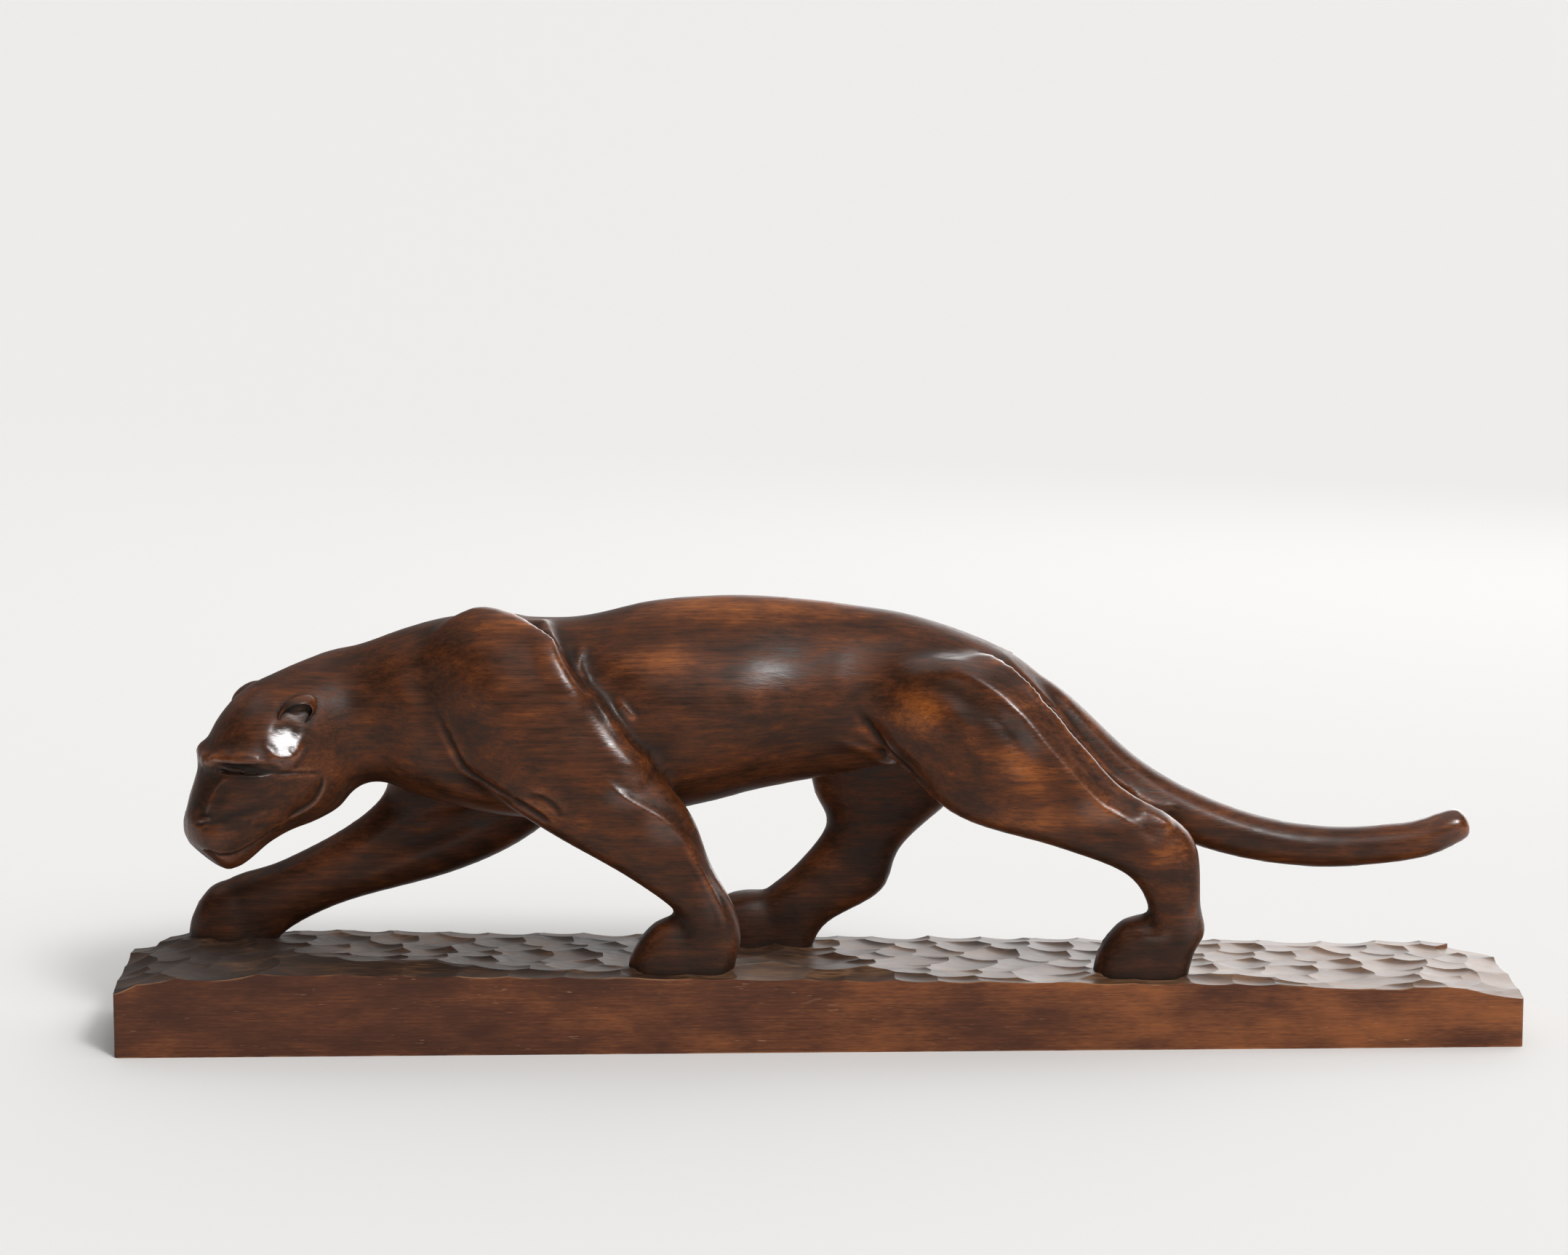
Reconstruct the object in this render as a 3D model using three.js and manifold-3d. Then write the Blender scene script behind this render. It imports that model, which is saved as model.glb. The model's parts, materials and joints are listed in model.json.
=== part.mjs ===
// A stalking panther and its plinth, carved from one block of wood.
// Millimetres, +Z up. The origin is the middle of the plinth's underside.
// The head points to -X and the side that is meant to be seen faces -Y.

import * as THREE from "three";
import { mergeVertices } from "three/addons/utils/BufferGeometryUtils.js";
import Module from "manifold-3d";

const wasm = await Module();
wasm.setup();

// Driving dimensions of the block.
const PLINTH_LENGTH = 600;
const PLINTH_DEPTH = 90;
const PLINTH_HEIGHT_AT_HEAD = 37;
const PLINTH_HEIGHT_AT_TAIL = 26;

// Places on the animal, measured along the block and across it.
const STANCE = 32; // from the middle plane to the middle of a leg
const NAPE_X = -203; // the head turns about this place
const NAPE_Y = 3;
const HEAD_TURN = 27; // degrees, towards the side that is seen
const SOLE_Z = 15; // the masses of the legs end here, inside the plinth

// Lines of the face in the side view, before the head is turned.
const EYE_LINE = [[-66, 123.5], [-57, 122], [-46, 121.5], [-36, 121]];
const MOUTH_LINE = [[-72, 89], [-60, 86.5], [-50, 89.5], [-38, 98]];
const SLIT_FLOOR = 0.88; // share of the head's width that the cut lines leave

// Gouge marks that cover the ground.
const GOUGE_PITCH_X = PLINTH_LENGTH / 28;
const GOUGE_PITCH_Y = PLINTH_DEPTH / 5;
const GOUGE_DEPTH = 2.4;
const GOUGE_WANDER = 2.5; // how far the ridges stray along the block
const HEAD_END = { inset: 40, drop: 8 }; // how far in the ground falls away, and how much
const TAIL_END = { inset: 10, drop: 3.5 };

function toSolid(geometry) {
  geometry.deleteAttribute("normal");
  geometry.deleteAttribute("uv");
  const merged = mergeVertices(geometry, 1e-3);
  return new wasm.Manifold(new wasm.Mesh({
    numProp: 3,
    vertProperties: Float32Array.from(merged.attributes.position.array),
    triVerts: Uint32Array.from(merged.index.array),
  }));
}

function toGeometry(solid) {
  const mesh = solid.getMesh();
  const positions = new Float32Array((mesh.vertProperties.length / mesh.numProp) * 3);
  for (let i = 0; i < positions.length / 3; i++) {
    for (let k = 0; k < 3; k++) {
      positions[3 * i + k] = mesh.vertProperties[i * mesh.numProp + k];
    }
  }
  const geometry = new THREE.BufferGeometry();
  geometry.setAttribute("position", new THREE.BufferAttribute(positions, 3));
  geometry.setIndex(new THREE.BufferAttribute(Uint32Array.from(mesh.triVerts), 1));
  return geometry;
}

// One oval across a mass: its two ends in the side view (top and bottom, or front and
// rear on a leg), its half width, the place of its middle across the block, how much
// nearer the far side its first end lies than its second, and how square it is: 2 is an
// ellipse, more has flatter sides and less has keener ends.
function oval(first, second, half, y = 0, slant = 0, squareness = 2.2) {
  return [...first, ...second, half, y, slant, squareness];
}

// A smooth run of ovals between the drawn ones, by a Catmull-Rom spline.
function smoothRun(ovals, rowsPerSpan) {
  const rows = [];
  const pick = (i) => ovals[Math.min(Math.max(i, 0), ovals.length - 1)];
  for (let i = 0; i < ovals.length - 1; i++) {
    const [a, b, c, d] = [pick(i - 1), pick(i), pick(i + 1), pick(i + 2)];
    for (let j = 0; j < rowsPerSpan; j++) {
      const t = j / rowsPerSpan;
      rows.push(b.map((_, k) => 0.5 * (2 * b[k] + (c[k] - a[k]) * t
        + (2 * a[k] - 5 * b[k] + 4 * c[k] - d[k]) * t * t
        + (3 * b[k] - a[k] - 3 * c[k] + d[k]) * t * t * t)));
    }
  }
  rows.push(ovals[ovals.length - 1]);
  return rows;
}

// A closed mass through the ovals, with a flat cap at each end.
function loft(ovals, sides = 16, rowsPerSpan = 2) {
  const rows = smoothRun(ovals, rowsPerSpan);
  const points = [];
  for (const [firstX, firstZ, secondX, secondZ, half, y, slant, squareness] of rows) {
    const power = 2 / squareness;
    for (let k = 0; k < sides; k++) {
      const angle = (2 * Math.PI * k) / sides;
      const along = Math.sign(Math.cos(angle)) * Math.abs(Math.cos(angle)) ** power;
      const across = Math.sign(Math.sin(angle)) * Math.abs(Math.sin(angle)) ** power;
      points.push(
        (firstX + secondX) / 2 + ((firstX - secondX) / 2) * along,
        y + half * across + slant * along,
        (firstZ + secondZ) / 2 + ((firstZ - secondZ) / 2) * along,
      );
    }
  }
  const faces = [];
  for (let row = 0; row < rows.length - 1; row++) {
    for (let k = 0; k < sides; k++) {
      const next = (k + 1) % sides;
      const [a, b] = [row * sides + k, row * sides + next];
      const [c, d] = [a + sides, b + sides];
      faces.push(a, b, d, a, d, c);
    }
  }
  const last = (rows.length - 1) * sides;
  for (let k = 1; k < sides - 1; k++) {
    faces.push(0, k + 1, k);
    faces.push(last, last + k, last + k + 1);
  }
  const geometry = new THREE.BufferGeometry();
  geometry.setAttribute("position", new THREE.Float32BufferAttribute(points, 3));
  geometry.setIndex(faces);
  return outward(toSolid(geometry), geometry);
}

// The same solid with its faces pointing out, whichever way its ovals were walked.
function outward(solid, geometry) {
  if (solid.volume() > 0) return solid;
  const index = geometry.index.array;
  for (let i = 0; i < index.length; i += 3) {
    [index[i], index[i + 1]] = [index[i + 1], index[i]];
  }
  return toSolid(geometry);
}

// A ball drawn out along three axes.
function ball(centre, radii, widthSegments = 8, heightSegments = 6) {
  const geometry = new THREE.SphereGeometry(1, widthSegments, heightSegments);
  geometry.rotateX(Math.PI / 2);
  geometry.scale(...radii);
  geometry.translate(...centre);
  return toSolid(geometry);
}

function union(solids) {
  return solids.reduce((sum, solid) => sum.add(solid));
}

function trunk() {
  return loft([
    oval([-212, 158], [-200, 114], 14, -1),
    oval([-199, 168], [-185, 106], 23, 1),
    oval([-182, 175], [-166, 103], 28),
    oval([-152, 182], [-138, 96], 32.5),
    oval([-106, 181], [-100, 93], 35),
    oval([-72, 188], [-69, 96], 34.5),
    oval([-30, 190.5], [-30, 104], 32.5),
    oval([0, 188], [-3, 110], 31),
    oval([45, 180], [36, 117], 28),
    oval([83, 164.5], [69, 118], 22),
    oval([108, 143], [98, 128], 7),
  ], 24);
}

function tail() {
  return loft([
    oval([62, 172], [58, 140], 12),
    oval([102, 151], [88, 124], 12.5),
    oval([140, 117], [128, 96], 11),
    oval([178, 97], [171, 77.5], 10),
    oval([216, 88], [215, 70], 9),
    oval([254, 89], [259, 73], 8.5),
    oval([275, 95], [280, 81], 7),
    oval([281, 93], [284, 85], 4),
  ], 12);
}

// The legs on the side that is seen. Their upper masses lie against the trunk, with the
// front edge sunk into it and the rear edge standing proud.
function nearForeleg() {
  const y = -STANCE;
  const leg = loft([
    oval([-149, 187], [-141, 188], 3, 0.42 * y),
    oval([-162, 180], [-126, 184], 9, 0.5 * y, 3, 1.8),
    oval([-172, 168], [-114, 175], 13, 0.66 * y, 5, 1.7),
    oval([-176, 150], [-103, 158], 15, 0.8 * y, 7, 1.6),
    oval([-168, 130], [-88, 138], 16, 0.83 * y, 6, 1.7),
    oval([-150, 115], [-72, 123], 15, 0.9 * y, 3, 2),
    oval([-115, 93], [-53, 102], 13, 0.98 * y, 1),
    oval([-82, 74], [-43, 80], 11, y),
    oval([-60, 57], [-34, 60], 10, y),
    oval([-58, 42], [-33, 42], 11, y),
    oval([-58, SOLE_Z], [-33, SOLE_Z], 11, y),
  ]);
  return union([leg, paw(-33, -80, y, 57)]);
}

function nearHindLeg() {
  const y = -STANCE;
  const leg = loft([
    oval([50, 164], [60, 167], 3, 0.4 * y),
    oval([30, 163], [72, 168], 8, 0.55 * y, 4, 1.8),
    oval([10, 153], [82, 162], 12, 0.7 * y, 7, 1.6),
    oval([18, 134], [102, 144], 15, 0.82 * y, 7, 1.6),
    oval([37, 116], [118, 127], 16, 0.86 * y, 4, 1.8),
    oval([60, 98], [135, 108], 14, 0.95 * y, 1, 2),
    oval([100, 86], [152, 97], 11.5, y),
    oval([130, 74], [161, 84], 10.5, y),
    oval([140, 58], [163, 60], 9.5, y),
    oval([141, 40], [165, 40], 10.5, y),
    oval([141, SOLE_Z], [165, SOLE_Z], 10.5, y),
  ]);
  return union([leg, paw(165, 119, y, 53)]);
}

// The legs on the far side.
function farForeleg() {
  const y = STANCE;
  const leg = loft([
    oval([-160, 176], [-150, 178], 3, 0.42 * y),
    oval([-174, 170], [-138, 174], 8, 0.5 * y, -3, 1.8),
    oval([-188, 158], [-120, 164], 12, 0.66 * y, -5, 1.7),
    oval([-194, 132], [-104, 126], 15, 0.84 * y, -6, 1.7),
    oval([-187, 112], [-108, 97], 14.5, 0.92 * y, -3, 2),
    oval([-190, 97], [-126, 79], 13, y),
    oval([-207, 83], [-158, 64], 11.5, y),
    oval([-236, 71], [-208, 50], 10.5, y),
    oval([-258, 60], [-236, 34], 10.5, y),
    oval([-262, 40], [-240, SOLE_Z], 10, y),
  ]);
  return union([leg, paw(-237, -275, y, 58)]);
}

function farHindLeg() {
  const y = STANCE;
  const leg = loft([
    oval([42, 163], [52, 167], 3, 0.4 * y),
    oval([24, 158], [66, 167], 8, 0.55 * y, -4, 1.8),
    oval([8, 146], [90, 156], 13, 0.72 * y, -7, 1.6),
    oval([-3, 120], [84, 116], 15, 0.88 * y, -5, 1.8),
    oval([-1, 100], [60, 94], 13, 0.96 * y, -2, 2),
    oval([5, 84], [38, 74], 11, y),
    oval([-8, 66], [29, 54], 10, y),
    oval([-24, 52], [3, 38], 10, y),
    oval([-32, 40], [-4, SOLE_Z], 10, y),
  ]);
  return union([leg, paw(-3, -55, y, 53)]);
}

// A blunt paw from its heel to the tips of three toes.
function paw(heelX, tipX, y, topZ) {
  const along = (share) => heelX + (tipX - heelX) * share;
  const body = loft([
    oval([along(0.02), topZ - 8], [along(0), SOLE_Z], 9, y),
    oval([along(0.35), topZ], [along(0.35), SOLE_Z], 11.5, y),
    oval([along(0.66), topZ - 1], [along(0.66), SOLE_Z], 12, y),
    oval([along(0.86), topZ - 7], [along(0.86), SOLE_Z], 11, y),
    oval([along(0.97), topZ - 20], [along(0.97), SOLE_Z], 8, y),
  ], 12);
  const toes = [-1, 0, 1].map((place) => ball(
    [along(0.72 - 0.04 * Math.abs(place)), y + 7.2 * place, topZ - 16],
    [Math.abs(tipX - heelX) * 0.28, 4.8, 15],
    8,
    5,
  ));
  return union([body, ...toes]);
}

// The head is drawn looking straight along -X from the nape, then turned.
function head() {
  const skull = loft([
    oval([20, 164], [30, 116], 14),
    oval([4, 168], [14, 108], 21),
    oval([-12, 163], [2, 106], 24),
    oval([-28, 158], [-6, 99], 25),
    oval([-44, 152], [-17, 94], 25),
    oval([-57, 142.5], [-30, 91], 24),
    oval([-65, 129], [-40, 86], 21),
    oval([-67.5, 118], [-46.5, 80.5], 17),
    oval([-71.5, 107], [-52, 77.5], 14.5),
    oval([-74, 98], [-57.5, 77], 13),
    oval([-72, 90], [-63, 81], 9),
    oval([-69, 86.5], [-66, 84], 3),
  ], 16);
  const cuts = [slit(EYE_LINE, 3.2, skull), slit(MOUTH_LINE, 1.6, skull)];
  const carved = cuts.reduce((solid, cut) => solid.subtract(cut), skull);
  const sides = [-1, 1].flatMap((side) => [ear(side), brow(side)]);
  return union([carved, ...sides]).rotate([0, 0, HEAD_TURN]).translate([NAPE_X, NAPE_Y, 0]);
}

function ear(side) {
  const lobe = ball([-31, 17.5 * side, 146.5], [10, 5.5, 8.5]);
  const hollow = ball([-35, 22 * side, 146.5], [7, 5, 5.5]);
  return lobe.subtract(hollow);
}

function brow(side) {
  return loft([
    oval([-67, 126], [-66, 123.5], 2, 8 * side),
    oval([-63, 130], [-60, 124.5], 4.5, 12.5 * side),
    oval([-53, 131], [-50, 124.5], 4.5, 18 * side),
    oval([-41, 129], [-39, 124], 2, 21.5 * side),
  ], 8);
}

// A cut along a line of the side view, a few millimetres into both sides of a solid.
function slit(line, width, solid) {
  const centre = new THREE.SplineCurve(line.map(([x, z]) => new THREE.Vector2(x, z)));
  const steps = 5;
  const edge = (side) => Array.from({ length: steps + 1 }, (_, i) => {
    const share = i / steps;
    const along = centre.getTangent(share);
    const half = (width / 2) * Math.sin(Math.PI * (0.08 + 0.84 * share));
    return centre.getPoint(share).add(new THREE.Vector2(-along.y, along.x).multiplyScalar(side * half));
  });
  const outline = new THREE.Shape([...edge(1), ...edge(-1).reverse()]);
  const geometry = new THREE.ExtrudeGeometry(outline, { depth: PLINTH_DEPTH, bevelEnabled: false });
  geometry.rotateX(Math.PI / 2);
  geometry.translate(0, PLINTH_DEPTH / 2, 0);
  return toSolid(geometry).subtract(solid.scale([1, SLIT_FLOOR, 1]));
}

// Height of the ground's ridges, which fall from the head end to the tail end.
function groundLevel(x) {
  const share = (x + PLINTH_LENGTH / 2) / PLINTH_LENGTH;
  const level = PLINTH_HEIGHT_AT_HEAD + (PLINTH_HEIGHT_AT_TAIL - PLINTH_HEIGHT_AT_HEAD) * share;
  const end = x < 0 ? HEAD_END : TAIL_END;
  const inset = Math.min(end.inset, PLINTH_LENGTH / 2 - Math.abs(x));
  return level - end.drop * (1 - inset / end.inset) ** 2;
}

// The ground is what is left above rows of gouge cuts, staggered like bricks. Each cell of
// the grid is half a cut long and half a cut wide, so the ridges fall on its lines.
function plinth() {
  const alongX = Math.round((2 * PLINTH_LENGTH) / GOUGE_PITCH_X);
  const acrossY = Math.round((2 * PLINTH_DEPTH) / GOUGE_PITCH_Y);
  const below = 5;
  const geometry = new THREE.BoxGeometry(PLINTH_LENGTH, PLINTH_DEPTH, 2 * below, alongX, acrossY, 1);
  const position = geometry.attributes.position;
  for (let i = 0; i < position.count; i++) {
    if (position.getZ(i) < 0) continue;
    const [x, y] = [position.getX(i), position.getY(i)];
    position.setZ(i, groundLevel(x) - gougeCut(x, y));
    if (Math.abs(x) > PLINTH_LENGTH / 2 - 1) continue;
    position.setX(i, x + GOUGE_WANDER * Math.sin(0.9 * x + 1.7 * y));
  }
  const sawnOff = new THREE.BoxGeometry(2 * PLINTH_LENGTH, 2 * PLINTH_DEPTH, 2 * below);
  sawnOff.translate(0, 0, -below);
  return toSolid(geometry).subtract(toSolid(sawnOff));
}

// How far below its ridges the ground lies, deepest in the middle of each cut.
function gougeCut(x, y) {
  const across = (y + PLINTH_DEPTH / 2) / GOUGE_PITCH_Y;
  const row = Math.min(Math.floor(across + 1e-6), Math.round(PLINTH_DEPTH / GOUGE_PITCH_Y) - 1);
  const along = (x + PLINTH_LENGTH / 2) / GOUGE_PITCH_X + (row % 2) / 2;
  const inCutX = 1 - 2 * Math.abs(along - Math.floor(along) - 0.5);
  const inCutY = 1 - 2 * Math.abs(across - row - 0.5);
  return GOUGE_DEPTH * inCutX * inCutY;
}

const wood = new THREE.MeshStandardMaterial({ color: "#5a2f1c", roughness: 0.3, metalness: 0 });

function carving() {
  const solid = union([
    plinth(), trunk(), tail(), head(), nearForeleg(), nearHindLeg(), farForeleg(), farHindLeg(),
  ]);
  const mesh = new THREE.Mesh(toGeometry(solid), wood);
  mesh.name = "panther_on_plinth";
  return mesh;
}

const group = new THREE.Group();
group.add(carving());

export default group;
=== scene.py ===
# A stalking panther and its plinth, carved from one block of wood, on a pale studio floor.
# Shapes are worked in millimetres and turned to metres when the piece is finished.
import json
import math
import random

import bmesh
import bpy
import numpy as np
from bpy.props import FloatProperty, PointerProperty, StringProperty
from mathutils import Matrix, Vector

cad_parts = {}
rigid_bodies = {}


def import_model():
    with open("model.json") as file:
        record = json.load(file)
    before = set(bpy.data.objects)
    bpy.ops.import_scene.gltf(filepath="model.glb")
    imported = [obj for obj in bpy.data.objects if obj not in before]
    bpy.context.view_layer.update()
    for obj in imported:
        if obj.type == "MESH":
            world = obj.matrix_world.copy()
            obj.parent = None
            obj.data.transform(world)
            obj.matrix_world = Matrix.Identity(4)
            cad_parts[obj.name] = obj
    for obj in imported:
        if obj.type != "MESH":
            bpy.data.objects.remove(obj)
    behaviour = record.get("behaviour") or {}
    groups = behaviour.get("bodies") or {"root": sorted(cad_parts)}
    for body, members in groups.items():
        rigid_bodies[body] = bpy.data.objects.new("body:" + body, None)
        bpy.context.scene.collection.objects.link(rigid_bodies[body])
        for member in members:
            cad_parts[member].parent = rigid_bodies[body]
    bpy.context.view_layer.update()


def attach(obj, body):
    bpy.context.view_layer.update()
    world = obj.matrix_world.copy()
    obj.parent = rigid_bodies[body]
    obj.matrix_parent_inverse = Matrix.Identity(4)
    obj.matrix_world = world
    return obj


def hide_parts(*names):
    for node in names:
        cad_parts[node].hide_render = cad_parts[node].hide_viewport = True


bl_info = {
    "name": "Carved panther on a gouged plinth",
    "version": (1, 0, 0),
    "blender": (4, 5, 0),
    "location": "3D View > Sidebar > Carving",
    "description": "Carves a stalking panther with its plinth and sets it in a pale studio",
    "category": "Add Mesh",
}

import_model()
NODE = "panther_on_plinth"
BODY = "root"

MM = 0.001
NEAR = -1  # the side that is seen, towards -Y
FAR = 1
SOLE_Z = 15  # the masses of the legs end here, inside the plinth
STANCE = 32  # from the middle plane to the middle of a leg
NAPE = (-203, 3)  # the head turns about this place
HEAD_TURN = 27  # degrees, towards the side that is seen
HEAD_PLACE = Matrix.Translation((*NAPE, 0)) @ Matrix.Rotation(math.radians(HEAD_TURN), 4, "Z")

CLAY_GRAIN = 2.2  # size of the first skin's faces
RUN_STEPS = 6  # rings of a mass from one of its ovals to the next

# A mass is a run of ovals. A row holds an oval's first and second end in the side view, its
# half width, its place across the block, how much nearer the far side its first end lies,
# and how square it is. What a row leaves out is that of a plain oval.
PLAIN_OVAL = (0, 0, 2.2)

TRUNK = [
    (-212, 159, -200, 117, 14, -1),
    (-199, 169, -185, 109, 23, 1),
    (-182, 175, -166, 103, 28),
    (-152, 182, -138, 96, 32.5),
    (-106, 181, -100, 93, 35, 0, 0, 2),
    (-72, 188, -69, 96, 35.5, 0, 0, 1.75),
    (-45, 190.3, -44, 101, 35.2, 0, 0, 1.6),
    (-28, 190.3, -29, 105, 33.6, 0, 0, 1.6),
    (-9, 188.9, -11, 108.6, 29.7, 0, 0, 1.62),
    (12, 186.3, 8, 112, 28, 0, 0, 1.7),
    (45, 180, 36, 117, 27, 0, 0, 1.9),
    (83, 164.5, 69, 118, 22),
    (108, 143, 98, 128, 7),
]

TAIL = [
    (62, 172, 58, 140, 12),
    (102, 151, 88, 124, 12.5),
    (140, 117, 128, 96, 11),
    (178, 97, 171, 77.5, 10),
    (216, 88, 215, 70, 9),
    (254, 89, 259, 73, 8.5),
    (275, 95, 280, 81, 7),
    (281, 93, 284, 85, 4),
]

# A leg's places across the block are shares of the stance.
NEAR_FORELEG = [
    (-149, 187, -141, 188, 3, 0.42),
    (-162, 180, -126, 184, 9, 0.5, 3, 1.8),
    (-172, 168, -114, 175, 13, 0.66, 5, 1.7),
    (-176, 150, -103, 158, 15, 0.8, 7, 1.6),
    (-168, 130, -88, 138, 16, 0.83, 6, 1.7),
    (-150, 115, -72, 123, 15, 0.9, 3, 2),
    (-115, 93, -55, 101, 13, 0.98, 1),
    (-82, 74, -47, 80, 11, 1),
    (-60, 57, -37, 61, 10, 1),
    (-60, 46, -34, 47, 10.8, 0.95, 0, 2.8),
    (-62, 37, -36, 38, 11, 0.92, 0, 2.8),
    (-62, SOLE_Z, -40, SOLE_Z, 11, 0.9, 0, 2.8),
]

NEAR_HIND_LEG = [
    (50, 164, 60, 167, 3, 0.4),
    (30, 163, 72, 168, 8, 0.55, 4, 1.8),
    (10, 153, 83, 162, 12, 0.7, 6, 1.6),
    (18, 134, 97, 147, 15, 0.82, 6, 1.6),
    (37, 116, 112, 129, 16, 0.86, 4, 1.8),
    (60, 98, 129, 111, 14, 0.95, 1, 2),
    (100, 86, 152, 97, 11.5, 1),
    (130, 74, 161, 84, 10.5, 1),
    (140, 59, 162.5, 60, 9.5, 1),
    (138, 48, 164.5, 48.5, 10.8, 0.95, 0, 2.8),
    (136, 36, 159.5, 38, 11, 0.92, 0, 2.8),
    (136, SOLE_Z, 155, SOLE_Z, 11, 0.9, 0, 2.8),
]

FAR_FORELEG = [
    (-160, 176, -150, 178, 3, 0.42),
    (-174, 170, -138, 174, 8, 0.5, -3, 1.8),
    (-188, 158, -120, 164, 12, 0.66, -5, 1.7),
    (-194, 132, -104, 126, 15, 0.84, -6, 1.7),
    (-187, 112, -108, 97, 14.5, 0.92, -3, 2),
    (-190, 97, -126, 79, 13, 1),
    (-207, 83, -158, 64, 11.5, 1),
    (-235, 68.5, -208, 50, 10.5, 1),
    (-258, 60, -236, 34, 10.5, 1),
    (-262, 40, -240, SOLE_Z, 10, 1),
]

FAR_HIND_LEG = [
    (42, 163, 52, 167, 3, 0.4),
    (24, 158, 66, 167, 8, 0.55, -4, 1.8),
    (8, 146, 90, 156, 13, 0.72, -7, 1.6),
    (-3, 120, 84, 116, 15, 0.88, -5, 1.8),
    (-1, 100, 60, 94, 13, 0.96, -2, 2),
    (5, 84, 38, 74, 11, 1),
    (-8, 66, 29, 54, 10.5, 1, 0, 2.6),
    (-24, 52, 3, 38, 11, 1, 0, 2.8),
    (-32, 40, -4, SOLE_Z, 11, 1, 0, 2.8),
]

# The head is drawn looking straight along -X from the nape, then turned. The brow is that
# of the far side.
SKULL = [
    (20, 164, 30, 116, 14),
    (4, 169, 14, 111, 21),
    (-12, 165, 2, 107, 24),
    (-28, 160, -6, 99.5, 25),
    (-44, 153.5, -17, 94.5, 25),
    (-56, 142, -30, 91, 24),
    (-63.5, 128, -40, 86, 21),
    (-67.5, 118, -46.5, 80.5, 17),
    (-71.5, 107, -52, 77.5, 14.5),
    (-74, 98, -57.5, 77, 13),
    (-72, 90, -63, 81, 9),
    (-69, 86.5, -66, 84, 3),
]

BROW = [
    (-67, 126.5, -66, 122.5, 2.4, 4.5),
    (-63, 129.5, -61, 123, 4.5, 11),
    (-53.5, 131, -50.5, 123.5, 4.5, 17.5),
    (-41, 129, -39, 123.5, 2, 21),
]


def smooth_run(points, per_span):
    """A smooth run through rows of numbers, by a Catmull-Rom spline."""
    p = np.array(points, float)
    p = np.vstack([p[:1], p, p[-1:]])
    t = np.linspace(0, 1, per_span, endpoint=False)[:, None]
    spans = []
    for a, b, c, d in zip(p, p[1:], p[2:], p[3:]):
        spans.append(0.5 * (2 * b + (c - a) * t + (2 * a - 5 * b + 4 * c - d) * t**2
                            + (3 * b - a - 3 * c + d) * t**3))
    return np.vstack([*spans, p[-1:]])


def full_oval(row, unit):
    """A row with what it leaves out, its place across the block turned to millimetres."""
    row += PLAIN_OVAL[len(row) - 5:]
    return (*row[:5], unit * row[5], *row[6:])


def loft(shape, ovals, unit=1, sides=40, place=None):
    """Wraps a grid round a smooth run of ovals, whose places across the block are in a unit
    of so many millimetres, and closes its two ends."""
    rows = smooth_run([full_oval(row, unit) for row in ovals], RUN_STEPS)
    last = len(rows) - 1
    verts = bmesh.ops.create_grid(shape, x_segments=sides, y_segments=last, size=1)["verts"]
    for v in verts:
        angle = math.pi * (v.co.x + 1)
        x1, z1, x2, z2, half, y, slant, squareness = rows[round((v.co.y + 1) / 2 * last)]
        power = 2 / squareness
        along = math.copysign(abs(math.cos(angle)) ** power, math.cos(angle))
        across = math.copysign(abs(math.sin(angle)) ** power, math.sin(angle))
        v.co = Vector((
            (x1 + x2) / 2 + (x1 - x2) / 2 * along,
            y + half * across + slant * along,
            (z1 + z2) / 2 + (z1 - z2) / 2 * along,
        ))
    close_up(shape, verts, place)


def close_up(shape, verts, place=None):
    """Welds a wrapped grid along its seam, closes its ends and puts it in its place."""
    bmesh.ops.remove_doubles(shape, verts=verts, dist=0.001)
    verts = [v for v in verts if v.is_valid]
    rims = list({e for v in verts for e in v.link_edges if e.is_boundary})
    caps = bmesh.ops.holes_fill(shape, edges=rims, sides=0)["faces"]
    faces = list({f for v in verts for f in v.link_faces} | set(caps))
    bmesh.ops.recalc_face_normals(shape, faces=faces)
    if place is not None:
        bmesh.ops.transform(shape, matrix=place, verts=verts)


# Rings of a paw from its heel forwards: where its top and its sole lie, as shares of its
# length, how far the top stands over the instep, and its half width.
PAW_RINGS = [(0.3, 0.16, 0, 10), (0.5, 0.4, 0.5, 11.5), (0.68, 0.7, -1.5, 11.5),
             (0.8, 0.9, -6.5, 10), (0.91, 0.98, -17, 6.5)]
PAW_SQUARENESS = 3

# Toes of a paw: place from the middle outwards, and how far it stays behind.
TOES = [(-1.3, 0.08), (-0.45, 0), (0.45, 0), (1.3, 0.08)]

# Rings of a toe: where it lies, how far under the instep, its half width, how far it stands
# out, and how far its sole is ahead of its top.
TOE_RINGS = [(0.5, 4, 2.4, 4.2, 0), (0.8, 6, 3.5, 5.7, 0), (0.95, 17, 2.8, 5.2, 0.06)]

# Paws: where the heel and the tip lie along the block, place across it, and instep's height.
PAWS = [(-36, -84, NEAR * (STANCE - 3), 56), (163, 115.5, NEAR * (STANCE - 3), 55),
        (-237, -276, FAR * STANCE, 60), (-3, -55, FAR * STANCE, 54)]

# The swelling between the brows: its middle and its half sizes.
BRIDGE_MIDDLE = (-62.5, 0, 125)
BRIDGE_REACH = (5.5, 7, 4)


def paw(shape, heel_x, tip_x, y, top_z):
    """A blunt paw: a flat-sided wedge that falls from the instep to the tips of its toes."""
    length = tip_x - heel_x
    loft(shape, [(heel_x + top * length, top_z + rise, heel_x + sole * length, SOLE_Z,
                  half, y, 0, PAW_SQUARENESS) for top, sole, rise, half in PAW_RINGS])
    for place, back in TOES:
        rings = []
        for ahead, low, half, out, sole in TOE_RINGS:
            x = heel_x + (ahead - back) * length
            rings.append((x, top_z - low, x + sole * length, SOLE_Z, half, y + out * place))
        loft(shape, rings, sides=20)


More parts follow.
